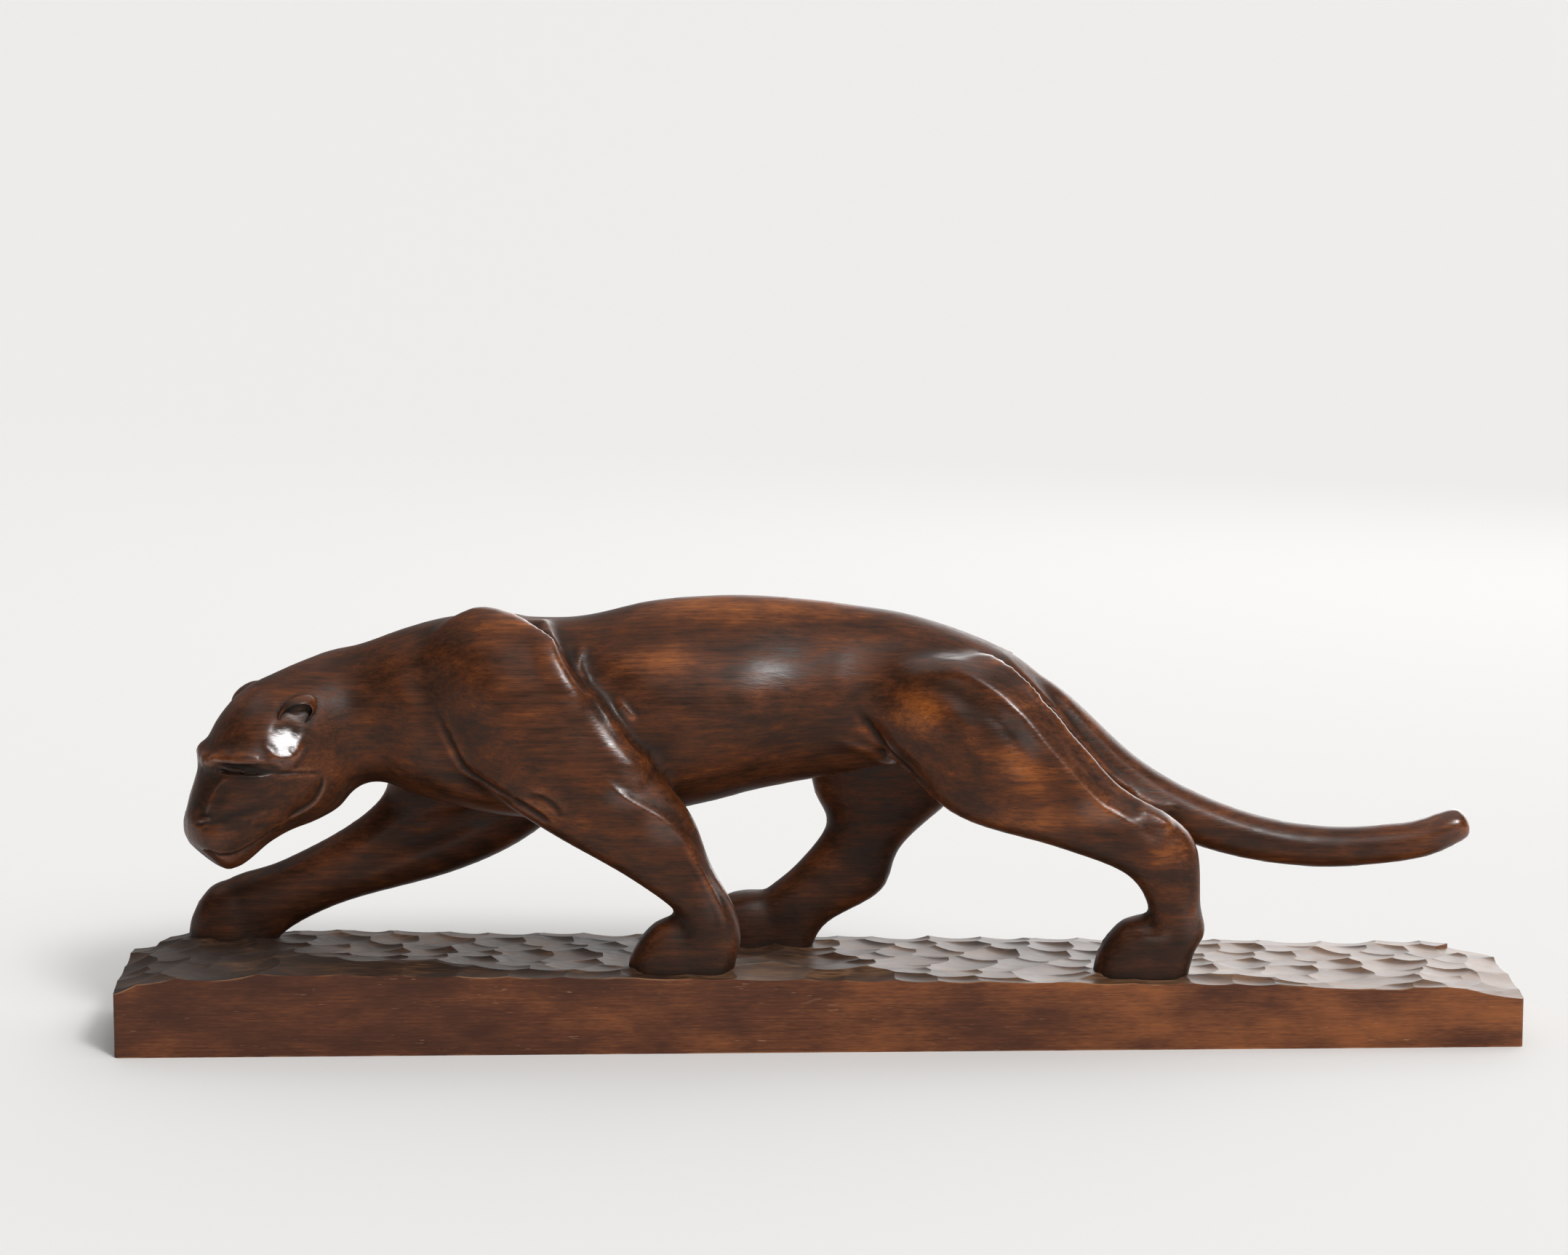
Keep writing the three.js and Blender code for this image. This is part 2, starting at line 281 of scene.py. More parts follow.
def head(shape):
    """The skull, a brow over each eye and the swelling between them, turned at the nape."""
    loft(shape, SKULL, place=HEAD_PLACE)
    for side in (NEAR, FAR):
        loft(shape, BROW, side, sides=16, place=HEAD_PLACE)
    bridge = Matrix.LocRotScale(Vector(BRIDGE_MIDDLE), None, Vector(BRIDGE_REACH))
    bmesh.ops.create_uvsphere(shape, u_segments=32, v_segments=20, radius=1,
                              matrix=HEAD_PLACE @ bridge)


def masses():
    """The animal as overlapping closed masses, in millimetres."""
    shape = bmesh.new()
    loft(shape, TRUNK, sides=64)
    loft(shape, TAIL, sides=32)
    for leg, side in ((NEAR_FORELEG, NEAR), (NEAR_HIND_LEG, NEAR),
                      (FAR_FORELEG, FAR), (FAR_HIND_LEG, FAR)):
        loft(shape, leg, side * STANCE)
    for measures in PAWS:
        paw(shape, *measures)
    head(shape)
    return shape


def to_mesh(shape, name):
    mesh = bpy.data.meshes.new(name)
    shape.to_mesh(mesh)
    shape.free()
    return mesh


def to_object(data):
    """A mesh, light or camera set in the scene under its own name."""
    placed = bpy.data.objects.new(data.name, data)
    bpy.context.scene.collection.objects.link(placed)
    return placed


def applied(piece):
    """The piece with its modifiers worked into a new mesh."""
    bpy.context.view_layer.update()
    graph = bpy.context.evaluated_depsgraph_get()
    mesh = bpy.data.meshes.new_from_object(piece.evaluated_get(graph))
    piece.modifiers.clear()
    old = piece.data
    piece.data = mesh
    bpy.data.meshes.remove(old)
    return piece


def one_skin(piece):
    """Melts the overlapping masses into one even skin and eases its steps."""
    skin = piece.modifiers.new("skin", "REMESH")
    skin.mode = "VOXEL"
    skin.voxel_size = CLAY_GRAIN
    ease = piece.modifiers.new("ease", "SMOOTH")
    ease.factor = 0.5
    ease.iterations = 4
    return applied(piece)


def read(items, name):
    values = np.empty(len(items) * 3)
    items.foreach_get(name, values)
    return values.reshape(-1, 3)


def ease_in(share):
    """From 0 to 1 with soft ends."""
    share = np.clip(share, 0, 1)
    return share * share * (3 - 2 * share)


def rounded(u):
    """Cross-section of a soft swelling or hollow, from its middle at 0 to its rim at 1."""
    return (1 - np.clip(u, 0, 1) ** 2) ** 2


def sharp(u):
    """Cross-section of a crest or a cut whose middle is a crisp line."""
    return (1 - np.clip(u, 0, 1)) ** 2


def sloped(u):
    """Cross-section of a crest with flat slopes, which melt into the skin at their foot."""
    u = np.clip(u, 0, 1)
    # Straight for six tenths of the way, and then a curve that goes on without a kink.
    return np.where(u < 0.6, 1 - 1.25 * u, 1.5625 * (1 - u) ** 2)


OWN_HALF = (0, 99)  # a stroke's reach across the block, from the middle outwards
PAST_MIDDLE = (-45, 0)  # reach onto the leg that stands beyond the middle
FULL_FACING = 0.35  # a stroke dies away where the skin faces its side less than this


class Clay:
    """A skin under the carver's tools: its points and normals, in a frame of its own."""

    def __init__(self, mesh, place=None):
        self.mesh = mesh
        self.home = np.array(place or Matrix.Identity(4))
        self.view = np.linalg.inv(self.home)
        ends = np.empty(len(mesh.edges) * 2, int)
        mesh.edges.foreach_get("vertices", ends)
        self.ends = ends.reshape(-1, 2).T
        self.count = np.bincount(ends, minlength=len(mesh.vertices))[:, None]
        self.renew()

    def mean(self, values):
        """The mean of each point's neighbours."""
        a, b = self.ends
        size = len(values)
        sums = [np.bincount(a, v[b], size) + np.bincount(b, v[a], size) for v in values.T]
        return np.array(sums).T / self.count

    def renew(self):
        turn = self.view[:3, :3].T
        self.points = read(self.mesh.vertices, "co") @ turn + self.view[:3, 3]
        self.normals = read(self.mesh.vertex_normals, "vector") @ turn
        for _ in range(3):
            self.normals = self.mean(self.normals)
        self.normals /= np.linalg.norm(self.normals, axis=1)[:, None]
        self.touched = np.zeros((len(self.points), 1))

    def keep(self, rounds=1):
        """Eases what the tools touched, and writes the points back to the mesh."""
        self.melt(0.5 * self.touched, rounds)
        points = self.points @ self.home[:3, :3].T + self.home[:3, 3]
        self.mesh.vertices.foreach_set("co", points.ravel())
        self.mesh.update()
        self.renew()

    def gap(self, centre, radii):
        """How far each point lies from a centre, where 1 is the rim of a region round it."""
        return np.linalg.norm((self.points - centre) / radii, axis=1)

    def melt(self, weight, rounds):
        for _ in range(rounds):
            self.points += weight * (self.mean(self.points) - self.points)

    def seam(self, centre, radii, rounds):
        """Smooths the seam of two masses away, less and less towards the rim of a region."""
        self.melt(rounded(self.gap(centre, radii))[:, None], rounds)

    def along(self, line, margin, chosen):
        """Finds which points lie near a line of the side view, how far off it they are,
        on which hand, and at which share of its length."""
        run = smooth_run(line, 5)
        flat = self.points[:, ::2]
        inside = (flat > run.min(0) - margin) & (flat < run.max(0) + margin)
        index = np.flatnonzero(chosen & inside.all(1))
        a, leg = run[:-1], np.diff(run, axis=0)
        size = np.linalg.norm(leg, axis=1)
        off = flat[index, None] - a
        t = np.clip((off * leg).sum(2) / size**2, 0, 1)
        gap = np.linalg.norm(off - t[..., None] * leg, axis=2)
        best = gap.argmin(1)
        pick = np.arange(len(index)), best
        hand = leg[best, 0] * off[pick][:, 1] - leg[best, 1] * off[pick][:, 0]
        start = np.concatenate([[0], np.cumsum(size)[:-1]])
        share = (start[best] + t[pick] * size[best]) / size.sum()
        return index, gap[pick], hand, share

    def stroke(self, side, line, height, widths, ends=(0.2, 0.2), section=rounded,
               grow=(1, 1), reach=OWN_HALF):
        """Raises the skin along a line, or sinks it where the height is under nothing.
        The widths are left and right of the line, as it is drawn, and they grow from its
        first end to its last. The stroke fades in and out over a share at each end."""
        y = self.points[:, 1] * side
        chosen = (y > reach[0]) & (y < reach[1]) & (self.normals[:, 1] * side > 0)
        index, gap, hand, share = self.along(line, max(widths) * max(grow), chosen)
        width = np.where(hand > 0, widths[0], widths[1]) * (grow[0] + (grow[1] - grow[0]) * share)
        fade = ease_in(share / ends[0]) * ease_in((1 - share) / ends[1])
        facing = ease_in(self.normals[index, 1] * side / FULL_FACING)
        move = height * section(gap / width) * fade * facing
        self.points[index] += self.normals[index] * move[:, None]
        self.touched[index[move != 0]] = 1

    def strokes(self, side, rows):
        for row in rows:
            self.stroke(side, *row)

    def pare(self, side, centre, radii, facing):
        """Pares the skin round a place down to a flat facet. What is said of the place is
        that of the far side."""
        facing = np.array(facing) * (1, side, 1)
        facing /= np.linalg.norm(facing)
        centre = np.array(centre) * (1, side, 1)
        share = ease_in(2 - 2 * self.gap(centre, radii))
        self.points += (share * ((centre - self.points) @ facing))[:, None] * facing

    def press(self, side, centre, radii, push):
        """Pushes the skin round a place, as a thumb or a spoon gouge does. What is said of
        the place is that of the far side."""
        share = rounded(self.gap(np.array(centre) * (1, side, 1), radii))
        self.points += share[:, None] * (np.array(push) * (1, side, 1))


def refined(mesh, wanted):
    """Splits the edges whose two ends are wanted, and eases the new points in."""
    shape = bmesh.new()
    shape.from_mesh(mesh)
    keep = wanted(read(mesh.vertices, "co"))
    edges = [e for e in shape.edges if keep[e.verts[0].index] and keep[e.verts[1].index]]
    bmesh.ops.subdivide_edges(shape, edges=edges, cuts=1, use_grid_fill=True)
    near = list({v for e in edges if e.is_valid for v in e.verts})
    bmesh.ops.smooth_vert(shape, verts=near, factor=0.5, use_axis_x=True, use_axis_y=True,
                          use_axis_z=True)
    shape.to_mesh(mesh)
    shape.free()


def in_head(points):
    """Places as the head sees them, before it is turned."""
    turn = np.array(HEAD_PLACE.to_3x3())
    return points @ turn - np.array([*NAPE, 0]) @ turn


# The finer skin of the head goes back to here, out to here on each hand and down to here.
HEAD_BACK = 10
HEAD_HALF = 27
HEAD_FOOT = 74


def round_head(points):
    x, y, z = in_head(points).T
    return (x < HEAD_BACK) & (abs(y) < HEAD_HALF) & (z > HEAD_FOOT)


def beside(lines, reach, side=0, seen=None):
    """Picks the points near any of the lines, on one side of the animal or on both."""
    def wanted(points):
        points = points if seen is None else seen(points)
        runs = np.vstack([smooth_run(line, 4) for line in lines])
        low, high = runs.min(0) - reach, runs.max(0) + reach
        flat = points[:, ::2]
        picked = np.all((flat > low) & (flat < high), axis=1) & (points[:, 1] * side >= 0)
        index = np.flatnonzero(picked)
        gap = np.linalg.norm(flat[index, None] - runs, axis=2).min(1)
        picked[index] = gap < reach
        return picked
    return wanted


# Lines of the side view that the carver followed, from head to tail and downwards.
SHOULDER_RIDGE = [(-131, 190), (-118.6, 182), (-111.8, 167), (-103.3, 154.4),
                  (-95.4, 148.7), (-82.3, 130.3), (-69.8, 119.3)]
SHOULDER_VALLEY = [(-112, 176.7), (-99, 158), (-84.5, 141), (-76, 131), (-59, 121)]
SHOULDER_FORK = [(-98.9, 174.7), (-102.4, 163.6), (-95.4, 150.2)]
SHOULDER_RIB = [(-87.7, 152), (-83.8, 147.6), (-77.4, 140.1)]
FOREARM_RIDGE = [(-95.6, 121.7), (-83.4, 110.7), (-67.7, 100.9), (-58.3, 91.1),
                 (-50, 74.8), (-40.2, 54.6)]
SHIN_LINE = [(-60, 92), (-51.6, 78.6), (-43.8, 62.9), (-40.5, 51)]
FAR_FOREARM_HOLLOW = [(-135, 98), (-160, 85), (-185, 76), (-210, 65)]
FAR_FOREARM_LINE = [(-130, 103), (-155, 92), (-178, 86), (-200, 74)]
ARMPIT_UPPER = [(-126, 111.5), (-118.3, 110.2), (-112.2, 105.8), (-110.1, 101.1)]
ARMPIT_LOWER = [(-132.1, 109.7), (-121.5, 103.4), (-113.8, 98.6)]
FOREARM_CUT = [(-103.6, 106.8), (-92.6, 97)]
SHOULDER_FRONT = [(-174.5, 170.8), (-164.6, 149), (-156, 129.4), (-148.4, 118.1), (-126.4, 107.3)]
GROIN = [(13.7, 148.3), (23.3, 133.9), (30.4, 124.4), (49.3, 108.3)]
FLANK_FOLD = [(2.1, 133.6), (20.3, 126), (36.1, 114.3), (48.6, 105.4)]
THIGH_RIM = [(28, 161), (39, 164), (54.5, 163.5), (71, 155.5), (83.4, 145), (95.8, 130.5),
             (107, 117.5), (118, 106), (127, 100.5), (144, 88.5)]
RIM_VALLEY = [(76, 165), (91, 149), (105.5, 131.5), (118, 115), (127, 107.5)]
UNDER_RIM = [(35, 154), (57, 153), (71.5, 143.5), (84, 129.5), (98, 112)]
THIGH_INNER = [(60, 152), (67, 146), (76, 135), (84, 122), (90, 112)]
THIGH_SPLIT = [(46, 150), (55, 138), (64, 124), (70, 112)]
THIGH_BEND = [(25, 180), (21, 160), (20, 145), (22, 128)]
RUMP_RIDGE = [(74.8, 170.5), (95.2, 148), (112.5, 127), (126.2, 111.7), (143.3, 101.6),
              (156, 97.6)]
TAIL_GROOVE = [(86, 165), (99.5, 149), (116, 129), (130, 114), (147, 105)]
HOCK_TENDON = [(132, 104), (142.9, 98.7), (150.4, 94)]
INSTEP = [(132, 51), (140, 49), (149, 47.4)]
HEEL_EDGE = [(157, 64), (158.5, 55), (155, 44)]
NEAR_LINES = [SHOULDER_RIDGE, SHOULDER_VALLEY, SHOULDER_FORK, SHOULDER_RIB, FOREARM_RIDGE,
              ARMPIT_UPPER, ARMPIT_LOWER, SHOULDER_FRONT, GROIN, FLANK_FOLD, THIGH_RIM,
              RUMP_RIDGE, SHIN_LINE]


def carried(line, at_top, at_foot):
    """The same line on the other side's leg, which stands further forward the lower it is."""
    top, foot = line[0][1], line[-1][1]
    moved = []
    for x, z in line:
        share = (top - z) / (top - foot)
        moved.append((x + at_top + (at_foot - at_top) * share, z))
    return moved


# A row of strokes holds the line, the height, the widths left and right of it, the shares
# over which its ends fade, and where they aren't plain, its cross-section, growth and reach.
BROAD_STROKES = [
    (SHOULDER_FRONT, -2.4, (22, 12), (0.2, 0.25)),
    (SHOULDER_VALLEY, -2.6, (22, 11), (0.35, 0.2), rounded, (0.6, 1.1)),
    (SHOULDER_RIDGE, 1.3, (9, 24), (0.35, 0.15), rounded, (0.6, 1.1)),
    (THIGH_BEND, -1.5, (19, 13), (0.5, 0.5)),
    (UNDER_RIM, -1.8, (7, 10), (0.35, 0.4)),
    (THIGH_RIM, 0.8, (8, 9), (0.12, 0.15)),
    (THIGH_INNER, 1.7, (7.5, 7), (0.3, 0.5)),
    (RIM_VALLEY, -0.5, (4.5, 4.5), (0.35, 0.3)),
    (GROIN, -2, (6, 6), (0.35, 0.4)),
    (FAR_FOREARM_HOLLOW, -2.2, (6, 6), (0.3, 0.3), rounded, (1, 1), PAST_MIDDLE),
]
FINE_STROKES = [
    (SHOULDER_FRONT[1:], -1.6, (3.4, 1.8), (0.3, 0.3), sharp),
    (SHOULDER_FORK, 1.1, (3, 4.5), (0.3, 0.4), sloped),
    (SHOULDER_RIDGE, 2.7, (6.4, 13), (0.25, 0.1), sloped, (0.6, 1.2)),
    (SHOULDER_RIB, 1.3, (2.6, 4), (0.4, 0.3), sloped),
    (FOREARM_RIDGE, 2, (4.8, 11), (0.2, 0.3), sloped),
    (SHIN_LINE, 0.9, (2, 3), (0.3, 0.2), sloped),
    (ARMPIT_UPPER, -1.6, (2.2, 3.2), (0.3, 0.3), sharp),
    (ARMPIT_LOWER, -1.8, (2.4, 3), (0.3, 0.3), sharp),
    (FOREARM_CUT, -1.1, (2, 3.2), (0.4, 0.4), sharp),
    (THIGH_RIM, 1.7, (7, 10), (0.12, 0.08), sloped),
    (RUMP_RIDGE, 0.9, (3, 3.4), (0.2, 0.05), sloped),
    (TAIL_GROOVE, -1.2, (3.4, 3), (0.3, 0.3)),
    (GROIN, -1.9, (3, 3.6), (0.3, 0.35), sharp),
    (FLANK_FOLD, 0.9, (3, 5), (0.3, 0.4)),
    (THIGH_SPLIT, -0.7, (5, 4), (0.3, 0.4)),
    (HOCK_TENDON, 2.1, (4.6, 6), (0.25, 0.2), sloped),
    (INSTEP, 1.3, (2.6, 4.5), (0.3, 0.3), sloped),
    (HEEL_EDGE, 1, (2, 4), (0.3, 0.4), sloped),
    (FAR_FOREARM_LINE, -1.4, (3, 4), (0.3, 0.3), sharp, (1, 1), PAST_MIDDLE),
]

# The side that the photograph hides has the same muscles on the other stride, plainer.
FAR_STROKES = [
    (carried(SHOULDER_FRONT, -6, -30), -3, (18, 10), (0.3, 0.3)),
    (carried(SHOULDER_VALLEY, -12, -34), -3, (11, 7), (0.3, 0.3)),
    (carried(SHOULDER_RIDGE, -10, -36), 2.6, (7, 15), (0.35, 0.2)),
    (carried(UNDER_RIM, -8, -44), -2, (9, 8), (0.3, 0.4)),
    (carried(THIGH_RIM[:7], -6, -40), 2.4, (7, 9), (0.2, 0.3)),
    (carried(GROIN, -20, -38), -2.6, (8, 6), (0.35, 0.2), sharp),
]

# Seams of the masses that the carver smoothed over: centre, reach and how long.
SEAMS = [
    ((-192, -8, 138), (30, 45, 46), 60),
    ((-192, 8, 138), (30, 45, 46), 60),
    ((84, -14, 150), (22, 16, 26), 12),
    ((24, -26, 158), (18, 14, 22), 20),
    ((-52, -32, 118), (12, 12, 14), 10),
]

# Lines of the head in its own side view, from the nose to the nape.
EYE_SLIT = [(-64.5, 121.8), (-59, 121.5), (-51, 121.2), (-42, 121)]
EYE_HOLLOW = [(-66, 123.6), (-58, 123.4), (-50, 122.4), (-40, 121.2)]
EYE_TAIL = [(-46, 121), (-34, 120.4), (-21, 119.4)]
BROW_EDGE = [(-66, 126.5), (-59, 126.2), (-51, 126), (-42, 125.4)]
CHEEK_REAR = [(-22, 119), (-21.5, 112.6), (-24.5, 106), (-31.6, 102), (-38, 99.5)]
MOUTH = [(-70, 88), (-65, 85.5), (-57, 85.8), (-48, 90.3), (-38, 97.5)]
BRIDGE_EDGE = [(-58, 122), (-62.5, 117.5), (-66, 111), (-69.5, 102)]
PAD_TOP = [(-69, 98.5), (-64, 101), (-56, 103.5), (-47, 105.5), (-38, 106)]
NOSTRIL = [(-72.5, 98), (-70, 99.8), (-67, 99.6)]
WHISKER_NICKS = [[(-58, 101.5), (-56.5, 100.2)], [(-54, 100.3), (-52.2, 99)],
                 [(-50, 98.6), (-48, 97.2)]]
TEMPLE_NICKS = [[(-46, 134), (-42, 129)], [(-42, 141), (-38, 137)], [(-37, 132), (-33, 127)],
                [(-42, 126.5), (-37, 124.5)], [(-35, 138), (-31, 136)]]
HEAD_LINES = [EYE_SLIT, EYE_TAIL, BROW_EDGE, CHEEK_REAR, MOUTH, BRIDGE_EDGE, NOSTRIL]

FACE_HOLLOWS = [
    (EYE_HOLLOW, -2.1, (3.1, 1.7), (0.25, 0.8), rounded, (1.2, 0.4)),
    (CHEEK_REAR, -1.4, (1.6, 11), (0.3, 0.3), sharp),
    (MOUTH, -1.7, (1.4, 7), (0.1, 0.15), sharp),
    (PAD_TOP, -0.9, (6, 2), (0.2, 0.5), sharp),
]
FACE_LINES = [
    (BROW_EDGE, 1.2, (6, 2), (0.2, 0.35), sharp),
    (EYE_SLIT, -3.2, (1.8, 1.4), (0.1, 0.6), sharp),
    (EYE_TAIL, -0.8, (1.6, 1.6), (0.3, 0.5), sharp),
    (NOSTRIL, -1.1, (1.3, 1.3), (0.3, 0.3), sharp),
]

# Places of the head that are pushed in or out: middle, reach and push. The temple is pared
# flat instead: middle, reach and the way it faces.
EAR_SEAT = ((-32, 24, 148), (6.5, 8, 3.8), (0, -3, 0.5))
NOSE_SIDE = ((-66, 12, 115), (12, 7, 11), (0, -0.8, 0))
WHISKER_PAD = ((-62, 11.5, 93), (10, 8, 7.5), (-0.6, 1.2, 0))
NOSE_WING = ((-69.5, 10, 100.5), (3.2, 4, 2.6), (-0.3, 0.9, 0.2))
TEMPLE = ((-38.5, 23.8, 133), (10.5, 9, 12), (-0.18, 0.894, 0.411))


def carve_head(clay):
    """The hollows and swellings of the face on both its sides, and then its crisp lines."""
    for side in (NEAR, FAR):
        clay.press(side, *EAR_SEAT)
        clay.pare(side, *TEMPLE)
        clay.press(side, *NOSE_SIDE)
        clay.strokes(side, FACE_HOLLOWS)
        clay.press(side, *WHISKER_PAD)
        clay.stroke(side, BRIDGE_EDGE, 1, (4, 3), (0.3, 0.3), sharp)
    clay.keep()
    for side in (NEAR, FAR):
        clay.strokes(side, FACE_LINES)
        for nick in TEMPLE_NICKS:
            clay.stroke(side, nick, -0.32, (1.3, 1.5), (0.4, 0.4))
        clay.press(side, *NOSE_WING)
        for nick in WHISKER_NICKS:
            clay.stroke(side, nick, -0.9, (1, 1), section=sharp)
    clay.keep()


EARS = {NEAR: (-31, -20.5, 146), FAR: (-37, 17.5, 147)}
EAR_RADII = (9.5, 6, 5.5)
EAR_LEAN = -30  # degrees, the tip towards the nape
EAR_MOUTH = (-0.55, 0.8, -0.15)  # middle of its hollow, on a far ear of radius 1
EAR_MOUTH_WIDTH = 1.02


def ear(shape, side):
    """A rounded cup that stands off the skull, hollow on its outer face."""
    made = bmesh.ops.create_uvsphere(shape, u_segments=64, v_segments=40, radius=1)["verts"]
    mouth = Vector((EAR_MOUTH[0], EAR_MOUTH[1] * side, EAR_MOUTH[2]))
    for v in made:
        inner = (v.co - mouth).length / EAR_MOUTH_WIDTH
        if inner < 1:
            v.co -= mouth.normalized() * (1 - inner ** 4)
    lean = Matrix.Rotation(math.radians(EAR_LEAN), 4, "Y")
    size = Matrix.LocRotScale(Vector(EARS[side]), lean.to_quaternion(), Vector(EAR_RADII))
    bmesh.ops.transform(shape, matrix=HEAD_PLACE @ size, verts=made)


def carved(piece):
    """The animal's skin with every ridge and cut in it, and its ears on."""
    mesh = piece.data
    clay = Clay(mesh)
    for seam in SEAMS:
        clay.seam(*seam)
    clay.strokes(NEAR, BROAD_STROKES)
    clay.keep(3)
    clay.strokes(FAR, FAR_STROKES)
    clay.keep(2)
    refined(mesh, round_head)
    refined(mesh, beside(HEAD_LINES, 3, seen=in_head))
    refined(mesh, beside(NEAR_LINES, 4.5, side=NEAR))
    clay = Clay(mesh)
    clay.strokes(NEAR, FINE_STROKES)
    clay.keep()
    carve_head(Clay(mesh, HEAD_PLACE))
    ears = bmesh.new()
    for side in (NEAR, FAR):
        ear(ears, side)
    bmesh.ops.recalc_face_normals(ears, faces=ears.faces)
    join(piece, to_object(to_mesh(ears, "ears")))
    return piece


def join(piece, other):
    """Makes another closed piece one with this one."""
    union = piece.modifiers.new("join", "BOOLEAN")
    union.operation = "UNION"
    union.solver = "MANIFOLD"
    union.object = other
    applied(piece)
    bpy.data.objects.remove(other)


# Cuts of a gouge on the ground, in millimetres: how far apart and how deep they lie, and
# how long the gentle run in and the steep run out of a cut are.
CUT_PITCH_X = 21
CUT_PITCH_Y = 15
CUT_DEPTH = 2.2
CUT_RUN_IN = 27
CUT_RUN_OUT = 7
CUT_HALF_WIDTH = 13
CUT_TURN = 56  # degrees from the block's length, towards the back

# How much the hand varies from cut to cut: places, turn in degrees, size and depth.
PITCH_SPREAD = (0.8, 1.2)
ROW_SPREAD = (-2.5, 2.5)
TURN_SPREAD = (-14, 14)
SIZE_SPREAD = (0.85, 1.15)
DROP_SPREAD = (-0.5, 0.7)
HAND = 5  # another number gives another hand's cuts

# Near the block's long edges the cuts are shallow.
FRONT_BAND = 16
BACK_BAND = 10
SHALLOW = 0.6

CUT_OVERRUN = 1.3  # a cutter goes on past the ends of its stroke, clear of the ground
CUTTER_TOP = 25

# Broad facets that lean to the seen edge: middle along the block, width and depth.
EDGE_CUTS = [(-217, 38, 20), (-188, 28, 15), (-163, 27, 16), (-141, 24, 12), (-118, 26, 10),
             (-95, 24, 10), (-68, 30, 9), (-44, 24, 8), (-19, 34, 18), (4, 17, 9), (22, 24, 15),
             (42, 20, 11), (60, 20, 8), (84, 34, 6), (124, 26, 9), (146, 26, 8), (168, 20, 13),
             (186, 20, 9), (204, 20, 6), (263, 26, 8)]
EDGE_SLOPE = 0.27
EDGE_TURN_SPREAD = (-9, 9)
EDGE_CUT_DEPTH = 1.5
EDGE_CUT_RISE = 0.5  # of the cut's middle over the slope

# Shares of a facet's width and depth that its cut takes.
EDGE_CUT_IN = 0.45
EDGE_RUN_IN = 0.68
EDGE_RUN_OUT = 0.6
EDGE_HALF_WIDTH = 0.75

# The mound in which a facet is cut: how wide it is for its facet, how much of the slope's
# height it has, and how far behind the facet it dies away.
MOUND_WIDTH = 0.85
MOUND_RISE = 0.8
MOUND_FALL = 34

# Where the paws stand, which the gouge went round.
FOOTINGS = [(-60, -29, 27, 15), (139.5, -29, 29, 15), (-257, 32, 22, 13), (-28, 32, 28, 13)]

HEAD_END = {"inset": 40, "drop": 8}
TAIL_END = {"inset": 10, "drop": 3.5}
GROUND_CROWN = 1.2


def ground_level(x, y, settings):
    """Height of the ground before it is cut, which falls from head to tail."""
    length = settings.plinth_length / MM
    at_head, at_tail = settings.height_at_head / MM, settings.height_at_tail / MM
    level = at_head + (at_tail - at_head) * (x / length + 0.5)
    level += GROUND_CROWN * (1 - (2 * y * MM / settings.plinth_depth) ** 2)
    inwards = y + settings.plinth_depth / MM / 2
    for middle, width, back in EDGE_CUTS:
        beside_it = min(abs(x - middle) / (MOUND_WIDTH * width), 1)
        rise = inwards / back if inwards < back else max(1 - (inwards - back) / MOUND_FALL, 0)
        level += MOUND_RISE * EDGE_SLOPE * back * (1 - beside_it ** 2) ** 2 * rise
    for end, far_in in ((HEAD_END, length / 2 + x), (TAIL_END, length / 2 - x)):
        level -= end["drop"] * (1 - min(max(far_in / end["inset"], 0), 1)) ** 2
    return level


def laid(x, y, turn, drop, settings):
    """A place a little under the ground, level with it and turned about its upright."""
    rise_x = (ground_level(x + 1, y, settings) - ground_level(x - 1, y, settings)) / 2
    rise_y = (ground_level(x, y + 1, settings) - ground_level(x, y - 1, settings)) / 2
    upright = Vector((-rise_x, -rise_y, 1)).to_track_quat("Z", "Y").to_matrix().to_4x4()
    spot = Matrix.Translation((x, y, ground_level(x, y, settings) - drop))
    return spot @ upright @ Matrix.Rotation(turn - upright.to_euler().z, 4, "Z")


def walls(shape, z):
    """Draws the open rim of a shape out to a level, and closes it there."""
    rim = [e for e in shape.edges if e.is_boundary]
    for v in bmesh.ops.extrude_edge_only(shape, edges=rim)["geom"]:
        if isinstance(v, bmesh.types.BMVert):
            v.co.z = z
    edge = [e for e in shape.edges if e.is_boundary]
    bmesh.ops.holes_fill(shape, edges=edge, sides=0)
    bmesh.ops.recalc_face_normals(shape, faces=shape.faces)


def one_cut(place, run_in, run_out, half_width, depth):
    """A closed cutter whose underside is one hollow stroke of the gouge."""
    shape = bmesh.new()
    bowl = bmesh.ops.create_grid(shape, x_segments=14, y_segments=10, size=CUT_OVERRUN)["verts"]
    for v in bowl:
        s, t = v.co.x, v.co.y
        v.co = Vector((s * (run_in if s < 0 else run_out), t * half_width,
                       depth * (s * s + t * t - 1)))
    walls(shape, CUTTER_TOP)
    bmesh.ops.transform(shape, matrix=place, verts=shape.verts)
    return to_mesh(shape, "cut")


